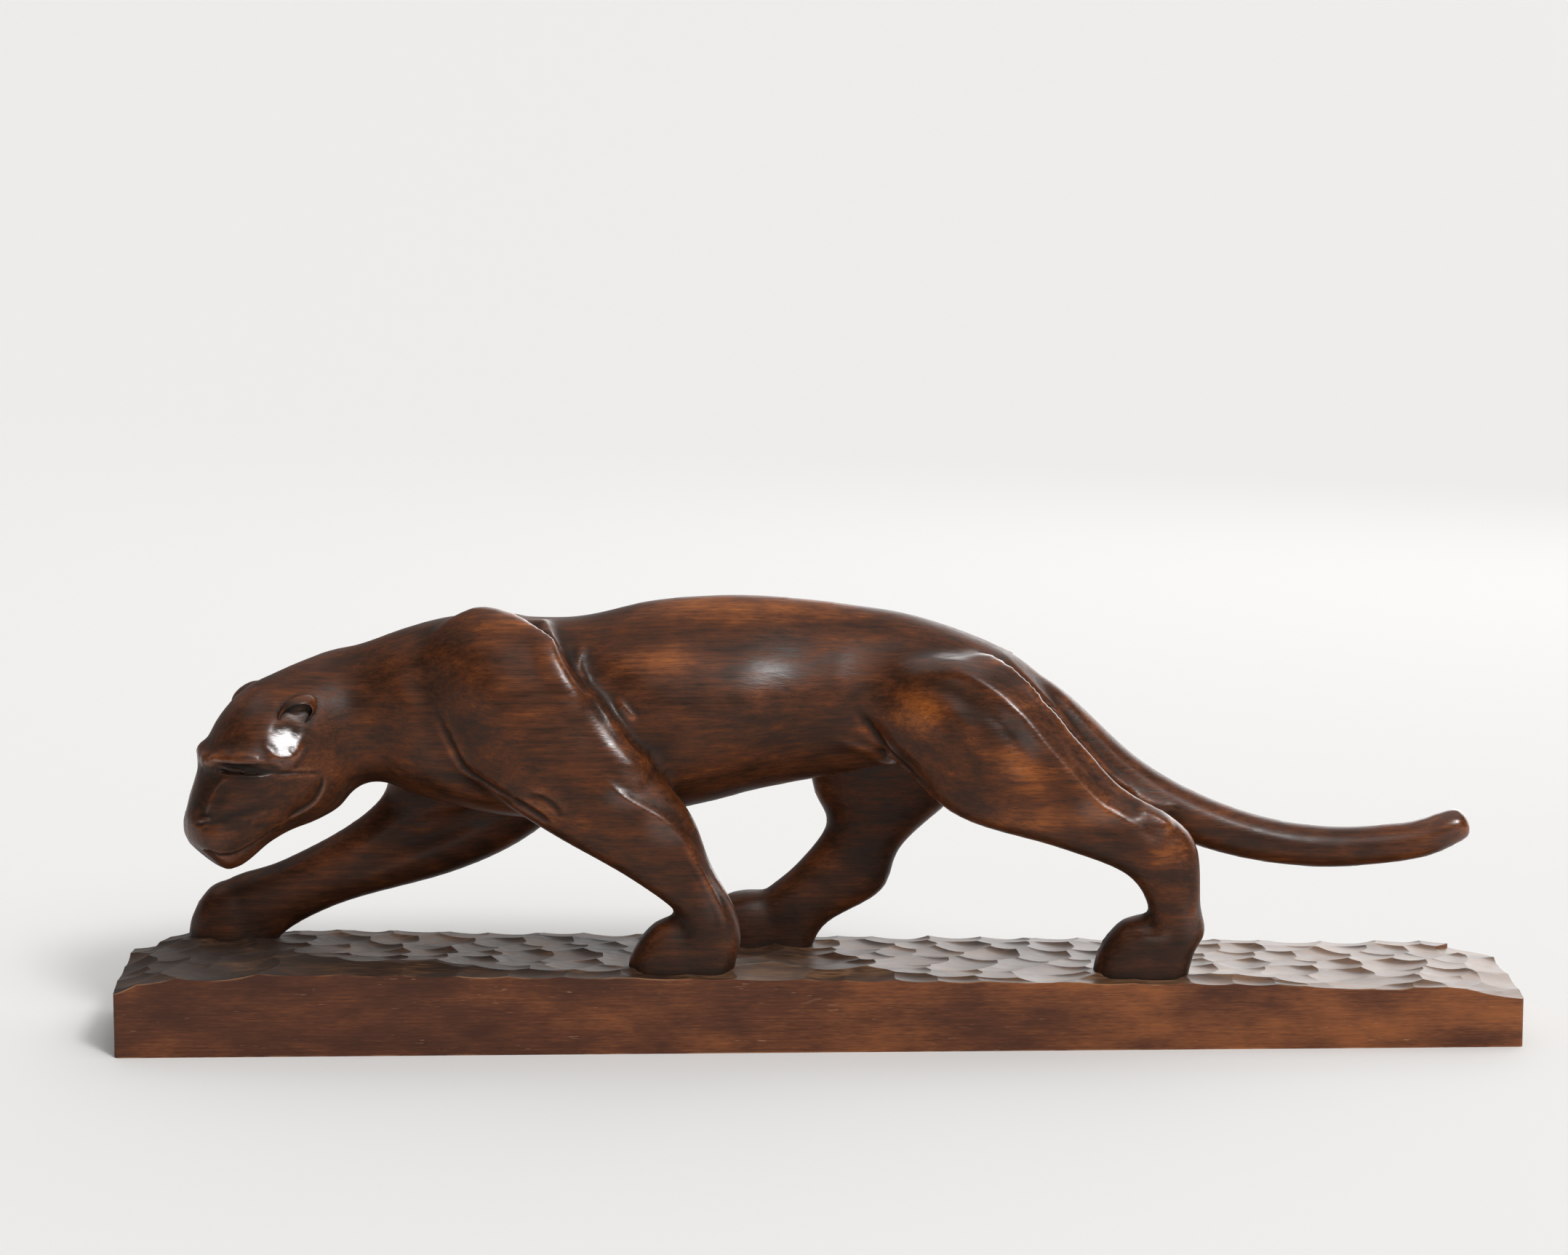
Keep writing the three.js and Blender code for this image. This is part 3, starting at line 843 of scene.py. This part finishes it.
def ground_cuts(settings):
    """Rows of cuts over the ground, and the broad facets along its seen edge."""
    rng = random.Random(HAND)
    half_length = settings.plinth_length / MM / 2
    half_depth = settings.plinth_depth / MM / 2
    cuts = []
    for x, width, back in EDGE_CUTS:
        y = -half_depth + EDGE_CUT_IN * back
        lean = Matrix.Rotation(math.atan(EDGE_SLOPE), 4, "X")
        turn = Matrix.Rotation(math.radians(rng.uniform(*EDGE_TURN_SPREAD)), 4, "Z")
        z = ground_level(x, -half_depth, settings) + EDGE_SLOPE * (EDGE_CUT_IN * back)
        place = Matrix.Translation((x, y, z + EDGE_CUT_RISE)) @ lean @ turn
        cuts.append(one_cut(place, EDGE_RUN_IN * width, EDGE_RUN_OUT * width,
                            EDGE_HALF_WIDTH * back, EDGE_CUT_DEPTH))
    for row in range(-1, round(2 * half_depth / CUT_PITCH_Y) + 2):
        x = -half_length - CUT_PITCH_X * (1 + 0.5 * (row % 2))
        while x < half_length + CUT_PITCH_X:
            x += CUT_PITCH_X * rng.uniform(*PITCH_SPREAD)
            y = -half_depth + row * CUT_PITCH_Y + rng.uniform(*ROW_SPREAD)
            turn = math.radians(CUT_TURN + rng.uniform(*TURN_SPREAD))
            size = rng.uniform(*SIZE_SPREAD)
            drop = rng.uniform(*DROP_SPREAD)
            inner = -half_depth + FRONT_BAND < y < half_depth - BACK_BAND
            on_edge = any(abs(x - middle) < width / 2 and y < -half_depth + back - 1
                          for middle, width, back in EDGE_CUTS)
            at_paw = any(((x - paw_x) / reach_x) ** 2 + ((y - paw_y) / reach_y) ** 2 < 1
                         for paw_x, paw_y, reach_x, reach_y in FOOTINGS)
            if not (on_edge or at_paw):
                cuts.append(one_cut(laid(x, y, turn, drop, settings), CUT_RUN_IN * size,
                                    CUT_RUN_OUT * size, CUT_HALF_WIDTH * size,
                                    CUT_DEPTH * size * (1 if inner else SHALLOW)))
    return cuts


END_CORNER = 15  # radius of the back corner at the tail, rounded by the carver
WORN_CORNER = 1.6
WORN_FOOT = 0.7
CLOSE = 0.1  # a point this near an edge or the foot lies on it
FOOT_TURN = 0.5  # radians by which the faces turn at the foot's edge

GROUND_GRID = 10  # spacing of the points of the uncut ground
UNCUT = 0.2  # how far it stands over the ground that the gouge leaves

# The piece's finishes by their place in its list of materials, and the tilt that parts
# the ground from the sides: the upright share of a face's normal.
GOUGED = 1
SAWN = 2
GROUND_TILT = 0.25


def at_corner(edge, corner):
    return all(abs(abs(v.co.x) - corner[0]) < CLOSE and abs(abs(v.co.y) - corner[1]) < CLOSE
               for v in edge.verts)


def at_end_corner(edge, corner):
    return at_corner(edge, corner) and all(v.co.x > 0 and v.co.y > 0 for v in edge.verts)


def at_foot(edge, corner):
    return all(v.co.z < CLOSE for v in edge.verts) and edge.calc_face_angle(0) > FOOT_TURN


def plinth(settings):
    """The block: sawn sides, and a ground that is all gouge cuts."""
    length = settings.plinth_length / MM
    depth = settings.plinth_depth / MM
    shape = bmesh.new()
    top = bmesh.ops.create_grid(shape, x_segments=round(length / GROUND_GRID),
                                y_segments=round(depth / GROUND_GRID), size=1)["verts"]
    for v in top:
        x, y = v.co.x * length / 2, v.co.y * depth / 2
        v.co = Vector((x, y, ground_level(x, y, settings) + UNCUT))
    walls(shape, 0)
    for radius, chosen in ((END_CORNER, at_end_corner), (WORN_CORNER, at_corner),
                           (WORN_FOOT, at_foot)):
        edges = [e for e in shape.edges if chosen(e, (length / 2, depth / 2))]
        bmesh.ops.bevel(shape, geom=edges, offset=radius, offset_type="OFFSET", segments=5,
                        affect="EDGES", profile=0.5, material=-1, clamp_overlap=True)
    block = to_object(to_mesh(shape, "carved_panther"))
    cutters = bpy.data.collections.new("cutters")
    bpy.context.scene.collection.children.link(cutters)
    for mesh in ground_cuts(settings):
        cutters.objects.link(bpy.data.objects.new("cut", mesh))
    gouge = block.modifiers.new("gouge", "BOOLEAN")
    gouge.operation = "DIFFERENCE"
    gouge.solver = "MANIFOLD"
    gouge.operand_type = "COLLECTION"
    gouge.collection = cutters
    applied(block)
    for cutter in list(cutters.objects):
        bpy.data.objects.remove(cutter)
    bpy.data.collections.remove(cutters)
    block.data.materials.clear()
    for face in block.data.polygons:
        face.material_index = GOUGED if face.normal.z > GROUND_TILT else SAWN
    return block


def to_linear(code):
    """An sRGB hex colour as linear red, green and blue, with full alpha."""
    values = [int(code[i:i + 2], 16) / 255 for i in (1, 3, 5)]
    return [v / 12.92 if v <= 0.04045 else ((v + 0.055) / 1.055) ** 2.4 for v in values] + [1]


def lay_stops(band, stops):
    """Lays colours over a ramp, from its lowest place to its highest."""
    for place, code in stops[1:-1]:
        band.elements.new(place)
    for element, (place, code) in zip(band.elements, stops):
        element.position = place
        element.color = to_linear(code)


def feed(tree, made, *inputs, **links):
    """Sets the inputs that a node shows, in their order or by name, to values, or joins
    them to sockets or to what another node gives first."""
    shown = [socket for socket in made.inputs if socket.enabled]
    named = [(made.inputs[name.replace("_", " ")], value) for name, value in links.items()]
    for socket, value in [*zip(shown, inputs), *named]:
        if isinstance(value, bpy.types.Node):
            value = next(out for out in value.outputs if out.enabled)
        if isinstance(value, bpy.types.NodeSocket):
            tree.links.new(value, socket)
        else:
            socket.default_value = value


def node(tree, kind, settings, *inputs, **links):
    """Adds a node with its settings, and sets or joins its inputs."""
    made = tree.nodes.new("ShaderNode" + kind)
    for name, value in settings.items():
        if name == "stops":
            lay_stops(made.color_ramp, value)
        else:
            setattr(made, name, value)
    feed(tree, made, *inputs, **links)
    return made


# Settings that several nodes share. A smooth range is fed a value, the two ends that it lies
# between, and the two that it is turned to, which are 0 and 1 where they are left out.
SMOOTH = {"interpolation_type": "SMOOTHSTEP"}
COLOURS = {"data_type": "RGBA"}
NUMBERS = {"data_type": "FLOAT"}
TIMES = {"operation": "MULTIPLY"}
TIMES_AND_PLUS = {"operation": "MULTIPLY_ADD"}
DOT = {"operation": "DOT_PRODUCT"}


def fibres(tree, along, across, detail=2, seed=0):
    """Noise drawn out along the block, its marks so many millimetres long and thick."""
    place = node(tree, "TexCoord", {}).outputs["Object"]
    scale = (1 / (along * MM), 1 / (across * MM), 1 / (across * MM))
    counted = node(tree, "VectorMath", TIMES_AND_PLUS, place, scale, (seed, seed, seed))
    return node(tree, "TexNoise", {}, Vector=counted, Scale=1, Detail=detail, Roughness=0.55)


def summed(tree, *parts):
    """The sum of what nodes give, each times its weight."""
    total = 0
    for weight, part in parts:
        total = node(tree, "Math", TIMES_AND_PLUS, part, weight, total)
    return total


def towards_tail(tree):
    """The place along the block, from 0 at the head's end to 1 at the tail's end."""
    place = node(tree, "TexCoord", {}).outputs["Object"]
    x = node(tree, "SeparateXYZ", {}, place).outputs["X"]
    return node(tree, "MapRange", SMOOTH, x, -0.3, 0.3)


def new_finish(name):
    material = bpy.data.materials.new(name)
    material.use_nodes = True
    return material, material.node_tree, material.node_tree.nodes["Principled BSDF"]


def varnished_mahogany(settings):
    """Mahogany carved, sanded, stained dark and varnished: a glossy brown, worn to orange
    where hands rubbed it, with the grain lying along it. Painted shade makes it nearly black
    in the creases, the eye's slit and the ear's hollow."""
    material, tree, shader = new_finish("varnished_stained_mahogany")
    wear = node(tree, "Attribute", {"attribute_name": "wear"}).outputs["Fac"]
    polish = node(tree, "Attribute", {"attribute_name": "polish"}).outputs["Fac"]
    streaks = fibres(tree, 42, 1.5, 3)
    pores = fibres(tree, 7, 0.5, 1, seed=3)
    clouds = fibres(tree, 38, 15, 2, seed=7)
    patches = fibres(tree, 14, 6, 3, seed=9)
    brush = fibres(tree, 11, 3.4, 2, seed=15)
    # How light the stain is: wear lightens it, and painted shade darkens it in the creases, the
    # eye and the ear.
    thin_and_shaded = summed(tree, (0.4, wear), (0.36, streaks), (0.42, clouds), (0.42, patches))
    spread = node(tree, "MapRange", SMOOTH, thin_and_shaded, 0.22, 1.22)
    stain = node(tree, "ValToRGB", {"stops": [
        (0, settings.unworn_and_shaded_stain), (0.25, "#3a1f0f"), (0.5, "#5a2e13"), (0.75, "#85481b"),
        (1, settings.worn_stain)]}, spread)
    pits = node(tree, "MapRange", SMOOTH, pores, 0.34, 0.46, 0.4, 0)
    colour = node(tree, "Mix", COLOURS, pits, stain, to_linear("#190d07"))
    dulled = summed(tree, (0.2, streaks), (0.18, patches), (-0.1, wear), (-0.14, polish))
    roughness = node(tree, "MapRange", SMOOTH, dulled, 0, 0.36, 0.26, 0.64)
    rubbed = summed(tree, (1, polish), (0.4, wear))
    gloss = node(tree, "MapRange", SMOOTH, rubbed, -0.05, 1, 0, 0.88)
    relief = summed(tree, (0.6, streaks), (0.25, pores), (0.3, patches))
    brushed = summed(tree, (1, relief), (2.4, brush))
    grain = node(tree, "Bump", {}, Strength=0.5, Distance=0.35 * MM, Height=relief)
    varnish = node(tree, "Bump", {}, Strength=0.4, Distance=0.16 * MM, Height=brushed)
    feed(tree, shader, Base_Color=colour, Roughness=roughness, Specular_IOR_Level=0.24,
         Normal=grain, Coat_Weight=gloss, Coat_Roughness=0.22, Coat_Normal=varnish)
    return material


def gouged_mahogany():
    """The same stained wood, left from the gouge under a thin varnish: duller, and greyed
    by handling dust, with torn grain inside each cut."""
    material, tree, shader = new_finish("gouged_stained_mahogany")
    streaks = fibres(tree, 16, 0.9, 3)
    clouds = fibres(tree, 26, 14, 2, seed=5)
    tail = towards_tail(tree)
    # Lighter towards the tail's end: painted light, for the light that is brighter on that side.
    thin_and_shaded = summed(tree, (0.5, streaks), (0.5, clouds), (0.2, tail))
    spread = node(tree, "MapRange", SMOOTH, thin_and_shaded, 0.44, 0.78)
    stain = node(tree, "ValToRGB", {"stops": [
        (0, "#2b1b10"), (0.5, "#4f3420"), (1, "#7a573a")]}, spread)
    roughness = node(tree, "MapRange", SMOOTH, streaks, 0.3, 0.7, 0.46, 0.66)
    torn = node(tree, "Bump", {}, Strength=0.5, Distance=0.3 * MM, Height=streaks)
    varnish = node(tree, "MapRange", SMOOTH, tail, 0.1, 0.9, 0, 0.5)
    feed(tree, shader, Base_Color=stain, Roughness=roughness, Specular_IOR_Level=0.42,
         Normal=torn, Coat_Weight=varnish, Coat_Roughness=0.3)
    return material


def sawn_mahogany():
    """The block's sides, sawn, sanded and varnished thinly: satin orange-brown with the
    grain in long dashes, blotches, fine scratches and pale rubbed edges."""
    material, tree, shader = new_finish("sawn_stained_mahogany")
    streaks = fibres(tree, 26, 0.9, 3)
    dashes = fibres(tree, 5, 0.5, 1, seed=3)
    clouds = fibres(tree, 50, 22, 3, seed=11)
    # Lighter towards the tail's end: painted light, for the light that is brighter on that side.
    thin_and_shaded = summed(tree, (0.25, streaks), (0.2, dashes), (0.6, clouds), (0.12, towards_tail(tree)))
    spread = node(tree, "MapRange", SMOOTH, thin_and_shaded, 0.41, 0.83)
    stain = node(tree, "ValToRGB", {"stops": [
        (0, "#3f1f0f"), (0.35, "#592f18"), (0.65, "#724021"), (1, "#8f5229")]}, spread)
    nicks = node(tree, "MapRange", SMOOTH, fibres(tree, 7, 0.4, 1, seed=21), 0.72, 0.78)
    few = node(tree, "MapRange", SMOOTH, fibres(tree, 30, 12, 1, seed=27), 0.5, 0.6, 0, 0.5)
    scratches = node(tree, "Math", TIMES, nicks, few)
    scratched = node(tree, "Mix", COLOURS, scratches, stain, to_linear("#c79a78"))
    rounding = node(tree, "Bevel", {"samples": 4}, Radius=1.3 * MM)
    facing = node(tree, "NewGeometry", {}).outputs["Normal"]
    turned = node(tree, "VectorMath", DOT, rounding, facing)
    edges = node(tree, "MapRange", SMOOTH, turned, 0.8, 0.99, 0.8, 0)
    worn = node(tree, "MapRange", SMOOTH, fibres(tree, 24, 10, 2, seed=31), 0.42, 0.62)
    rubbed = node(tree, "Math", TIMES, edges, worn)
    colour = node(tree, "Mix", COLOURS, rubbed, scratched, to_linear("#b98a63"))
    roughness = node(tree, "MapRange", SMOOTH, thin_and_shaded, 0.4, 0.8, 0.62, 0.44)
    grain = node(tree, "Bump", {}, Strength=0.4, Distance=0.2 * MM, Height=thin_and_shaded)
    feed(tree, shader, Base_Color=colour, Roughness=roughness, Specular_IOR_Level=0.3,
         Normal=grain, Coat_Weight=0.06, Coat_Roughness=0.35)
    return material


def seamless_paper(settings):
    """Matt white paper for a backdrop: it takes a soft shadow and gives back no shine."""
    material, tree, shader = new_finish("pale_seamless_paper")
    feed(tree, shader, Base_Color=to_linear(settings.paper_colour), Roughness=0.9,
         Specular_IOR_Level=0.2)
    return material


class CarvingSettings(bpy.types.PropertyGroup):
    """Sizes of the block, and colours as sRGB hex."""

    plinth_length: FloatProperty(
        name="Plinth length", description="Length of the block along the animal",
        default=0.6, min=0.42, max=0.75, unit="LENGTH")
    plinth_depth: FloatProperty(
        name="Plinth depth", description="Depth of the block from front to back",
        default=0.09, min=0.06, max=0.12, unit="LENGTH")
    height_at_head: FloatProperty(
        name="Height at the head", description="Height of the ground under the head",
        default=0.037, min=0.02, max=0.06, unit="LENGTH")
    height_at_tail: FloatProperty(
        name="Height at the tail", description="Height of the ground under the tail",
        default=0.026, min=0.02, max=0.06, unit="LENGTH")
    # The darkest stain, which the creases take on as painted shade.
    unworn_and_shaded_stain: StringProperty(
        name="Unworn stain", description="Colour of the animal's wood in its creases",
        default="#1c1008")
    worn_stain: StringProperty(
        name="Worn stain", description="Colour of the animal's wood where hands rubbed it",
        default="#b2682d")
    paper_colour: StringProperty(
        name="Paper", description="Colour of the studio's paper floor", default="#f3f2f0")


class CARVING_OT_panther(bpy.types.Operator):
    """Carve the panther and its plinth as one piece of wood"""

    bl_idname = "carving.panther"
    bl_label = "Carve the panther"

    def execute(self, context):
        settings = context.scene.carving
        materials = [varnished_mahogany(settings), gouged_mahogany(), sawn_mahogany()]
        animal = carved(one_skin(to_object(to_mesh(masses(), "panther"))))
        block = plinth(settings)
        for piece in (animal, block):
            for material in materials:
                piece.data.materials.append(material)
        join(block, animal)
        mesh = block.data
        mark_wear_and_shade(mesh)
        mesh.transform(Matrix.Scale(MM, 4))
        mesh.shade_smooth()
        seams_sharp(mesh)
        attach(block, BODY)
        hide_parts(NODE)
        return {"FINISHED"}


# Places where hands wore the stain thin, which are lighter, and places kept darker, two of them
# painted shade: middle, reach, and how much.
RUBBED_AND_SHADED = [
    ((-64, -34, 168), (34, 30, 13), 0.75),
    ((-128, -20, 186), (20, 30, 10), 0.5),
    ((-20, -16, 189), (130, 30, 12), 0.75),
    ((44, -34, 146), (17, 30, 17), 0.6),
    ((84, -34, 122), (18, 30, 15), 0.75),
    ((118, -34, 104), (16, 30, 10), 0.6),
    ((-256, -20, 126), (12, 30, 7), 0.6),
    ((95, -34, 102), (36, 30, 14), 0.45),
    ((147, -34, 87), (14, 30, 15), 0.5),
    # Darker low down, near the ground.
    ((0, 0, 38), (700, 200, 66), -0.25),
    # Darker over the face, and painted shade in the eye's slit and in the ear's hollow.
    ((-250, -25, 108), (40, 45, 34), -0.45),
    ((-243, -30, 120.5), (15, 20, 4), -0.8),
    ((-222, -34, 148), (7, 9, 3), -0.7),
]

# Places where the varnish was rubbed to a gloss: middle, reach, and how much.
POLISHED = [
    ((-226, -36, 132), (12, 14, 13), 1.2),
    ((-104, -32, 156), (12, 20, 14), 0.8),
    ((-89, -38, 139), (14, 20, 15), 1),
    ((-76, -40, 124), (14, 20, 11), 1),
    ((-84, -40, 111), (13, 20, 9), 0.9),
    ((-66, -40, 98), (14, 20, 13), 1),
    ((-46, -36, 70), (9, 20, 20), 0.8),
    ((54, -30, 164), (34, 24, 9), 1.2),
    ((89, -36, 141), (17, 24, 18), 0.9),
    ((120, -36, 104), (20, 24, 11), 1.1),
    ((146, -36, 94), (14, 24, 9), 1.1),
    ((85, -36, 128), (10, 20, 14), 0.7),
    ((75, -36, 141), (8, 20, 11), 0.8),
    ((272, 0, 90), (24, 20, 14), 0.6),
    ((-22, -38, 160), (36, 20, 16), 0.4),
    ((-240, -25, 147), (15, 20, 10), 0.5),
    ((-264, -25, 106), (24, 24, 24), 0.3),
    ((142, -34, 49), (12, 20, 6), 0.9),
    ((157, -34, 56), (8, 20, 14), 0.6),
]


FULL_BEND = 0.16  # how sharply the skin bends where it is a crest, in a millimetre
MOST_BY_BEND = 0.3  # wear that a crest has for itself
CREST_POLISH = 0.8
CREASES = {GOUGED: 9, SAWN: 30}  # degrees from which an edge within a finish stays crisp


def mark_wear_and_shade(mesh):
    """Stores how far each point is worn or sunk in, from -1 in a crease to 1 on a crest,
    and how glossy it was rubbed. Below nothing it darkens the stain, a painted shade in the
    creases, and the places listed lighten or darken it further."""
    clay = Clay(mesh)
    rise = ((clay.points - clay.mean(clay.points)) * clay.normals).sum(1)[:, None]
    a, b = clay.ends
    size = np.linalg.norm(clay.points[a] - clay.points[b], axis=1)
    span = (np.bincount(a, size, len(rise)) + np.bincount(b, size, len(rise)))[:, None]
    bend = np.clip(rise * clay.count**2 / span**2 / FULL_BEND, -1, 1)
    for _ in range(3):
        bend = 0.4 * bend + 0.6 * clay.mean(bend)
    # Creases keep all their darkening, which is painted shade; a crest is worn lighter only a
    # little.
    wear = np.minimum(bend[:, 0], MOST_BY_BEND)
    polish = CREST_POLISH * np.clip(bend[:, 0], 0, 1)
    for name, total, places in (("wear", wear, RUBBED_AND_SHADED), ("polish", polish, POLISHED)):
        for centre, radii, amount in places:
            total += amount * rounded(clay.gap(centre, radii))
        mesh.attributes.new(name, "FLOAT", "POINT").data.foreach_set("value", total)


def seams_sharp(mesh):
    """Keeps a crisp line where the animal, the gouged ground and the sawn sides meet."""
    shape = bmesh.new()
    shape.from_mesh(mesh)
    for e in shape.edges:
        finishes = {f.material_index for f in e.link_faces}
        crease = math.radians(CREASES.get(min(finishes), 360))
        if len(finishes) > 1 or e.calc_face_angle(0) > crease:
            e.smooth = False
    shape.to_mesh(mesh)
    shape.free()


# Camera from the photograph: its place in metres, its turn in degrees and its lens.
CAMERA_PLACE = (-0.08116, -1.98151, 0.48104)
CAMERA_TURN = (81.255, 0, -1.921)
CAMERA_LENS = 107.31  # millimetres
CAMERA_SENSOR = 36

FLOOR_RADIUS = 40.0  # metres, so that the pale floor fills the whole frame

# Lights: name, kind, place in metres, aim, power and own measures. The key is one broad and
# one narrow light from the same place, for soft shadows with a clear shine.
LIGHTS = [
    ("key_light", "SUN", (0.9, -1.6, 1.4), (0, 0, 0), 1.1, {"angle": math.radians(30)}),
    ("key_glint", "SUN", (0.9, -1.6, 1.4), (0, 0, 0), 1.1, {"angle": math.radians(10)}),
    ("rim_light", "AREA", (0.75, 1.5, 0.75), (0, 0, 0.05), 1.6,
     {"shape": "RECTANGLE", "size": 1.1, "size_y": 0.6}),
]

# Strengths of the studio's air: where it lights the piece most and least, where the camera
# sees it, and in reflections the backdrop behind, the ceiling and the dark rest.
AIR_BRIGHT = 0.88
AIR_DIM = 0.12
AIR_SEEN = 0.8
BACKDROP_RIGHT = 2.56
BACKDROP_LEFT = 0.16
CEILING = 0.75
DARK_ROOM = 0.08
AIR_FROM = (0.45, 0.45, 0.77)  # the way to the brightest air: up, behind and to the right


class CARVING_OT_studio(bpy.types.Operator):
    """Set the pale floor, the soft lights and the camera"""

    bl_idname = "carving.studio"
    bl_label = "Set the studio"

    def execute(self, context):
        scene = context.scene
        scene.view_settings.view_transform = "Standard"
        disc = bmesh.new()
        bmesh.ops.create_circle(disc, cap_ends=True, segments=96, radius=FLOOR_RADIUS)
        floor = to_object(to_mesh(disc, "studio_floor"))
        floor.data.materials.append(seamless_paper(scene.carving))
        scene.world = studio_air()
        for measures in LIGHTS:
            light(*measures)
        camera = to_object(bpy.data.cameras.new("camera"))
        camera.location = CAMERA_PLACE
        camera.rotation_euler = [math.radians(a) for a in CAMERA_TURN]
        camera.data.lens = CAMERA_LENS
        camera.data.sensor_width = CAMERA_SENSOR
        camera.data.clip_end = 2 * FLOOR_RADIUS
        scene.camera = camera
        return {"FINISHED"}


def studio_air():
    """A pale studio: soft light from above and behind, and in reflections a bright
    backdrop low behind the piece, a dark ceiling and a dark front."""
    world = bpy.data.worlds.new("studio_air")
    world.use_nodes = True
    tree = world.node_tree
    way = node(tree, "TexCoord", {}).outputs["Generated"]
    rise = node(tree, "VectorMath", DOT, way, AIR_FROM)
    glow = node(tree, "MapRange", SMOOTH, rise, 0.1, 0.95, AIR_DIM, AIR_BRIGHT)
    x, y, z = node(tree, "SeparateXYZ", {}, way).outputs
    back = node(tree, "MapRange", SMOOTH, y, 0.1, 0.75)
    low = node(tree, "MapRange", SMOOTH, z, 0.38, 0.85, 1, 0)
    behind = node(tree, "Math", TIMES, back, low)
    backdrop = node(tree, "MapRange", SMOOTH, x, -0.2, 0.25, BACKDROP_LEFT, BACKDROP_RIGHT)
    above = node(tree, "MapRange", SMOOTH, z, 0.6, 0.95, DARK_ROOM, CEILING)
    mirrored = node(tree, "Math", TIMES_AND_PLUS, behind, backdrop, above)
    ray = node(tree, "LightPath", {}).outputs
    unseen = node(tree, "Mix", NUMBERS, ray["Is Glossy Ray"], glow, mirrored)
    strength = node(tree, "Mix", NUMBERS, ray["Is Camera Ray"], unseen, AIR_SEEN)
    feed(tree, tree.nodes["Background"], Color=(1, 1, 1, 1), Strength=strength)
    return world


def light(name, kind, place, aim, power, measures):
    """Sets a light in its place, turned towards its aim."""
    data = bpy.data.lights.new(name, kind)
    data.energy = power
    for measure, value in measures.items():
        setattr(data, measure, value)
    lamp = to_object(data)
    lamp.location = place
    lamp.rotation_euler = (Vector(aim) - Vector(place)).to_track_quat("-Z", "Y").to_euler()


class CARVING_PT_panel(bpy.types.Panel):
    bl_label = "Carved panther"
    bl_idname = "CARVING_PT_panel"
    bl_space_type = "VIEW_3D"
    bl_region_type = "UI"
    bl_category = "Carving"

    def draw(self, context):
        settings = context.scene.carving
        for name in CarvingSettings.__annotations__:
            self.layout.prop(settings, name)
        self.layout.operator(CARVING_OT_panther.bl_idname)
        self.layout.operator(CARVING_OT_studio.bl_idname)


CLASSES = (CarvingSettings, CARVING_OT_panther, CARVING_OT_studio, CARVING_PT_panel)


def register():
    for item in CLASSES:
        bpy.utils.register_class(item)
    bpy.types.Scene.carving = PointerProperty(type=CarvingSettings)


def unregister():
    del bpy.types.Scene.carving
    for item in reversed(CLASSES):
        bpy.utils.unregister_class(item)


def main():
    register()
    bpy.ops.carving.panther()
    bpy.ops.carving.studio()


if __name__ == "__main__":
    main()
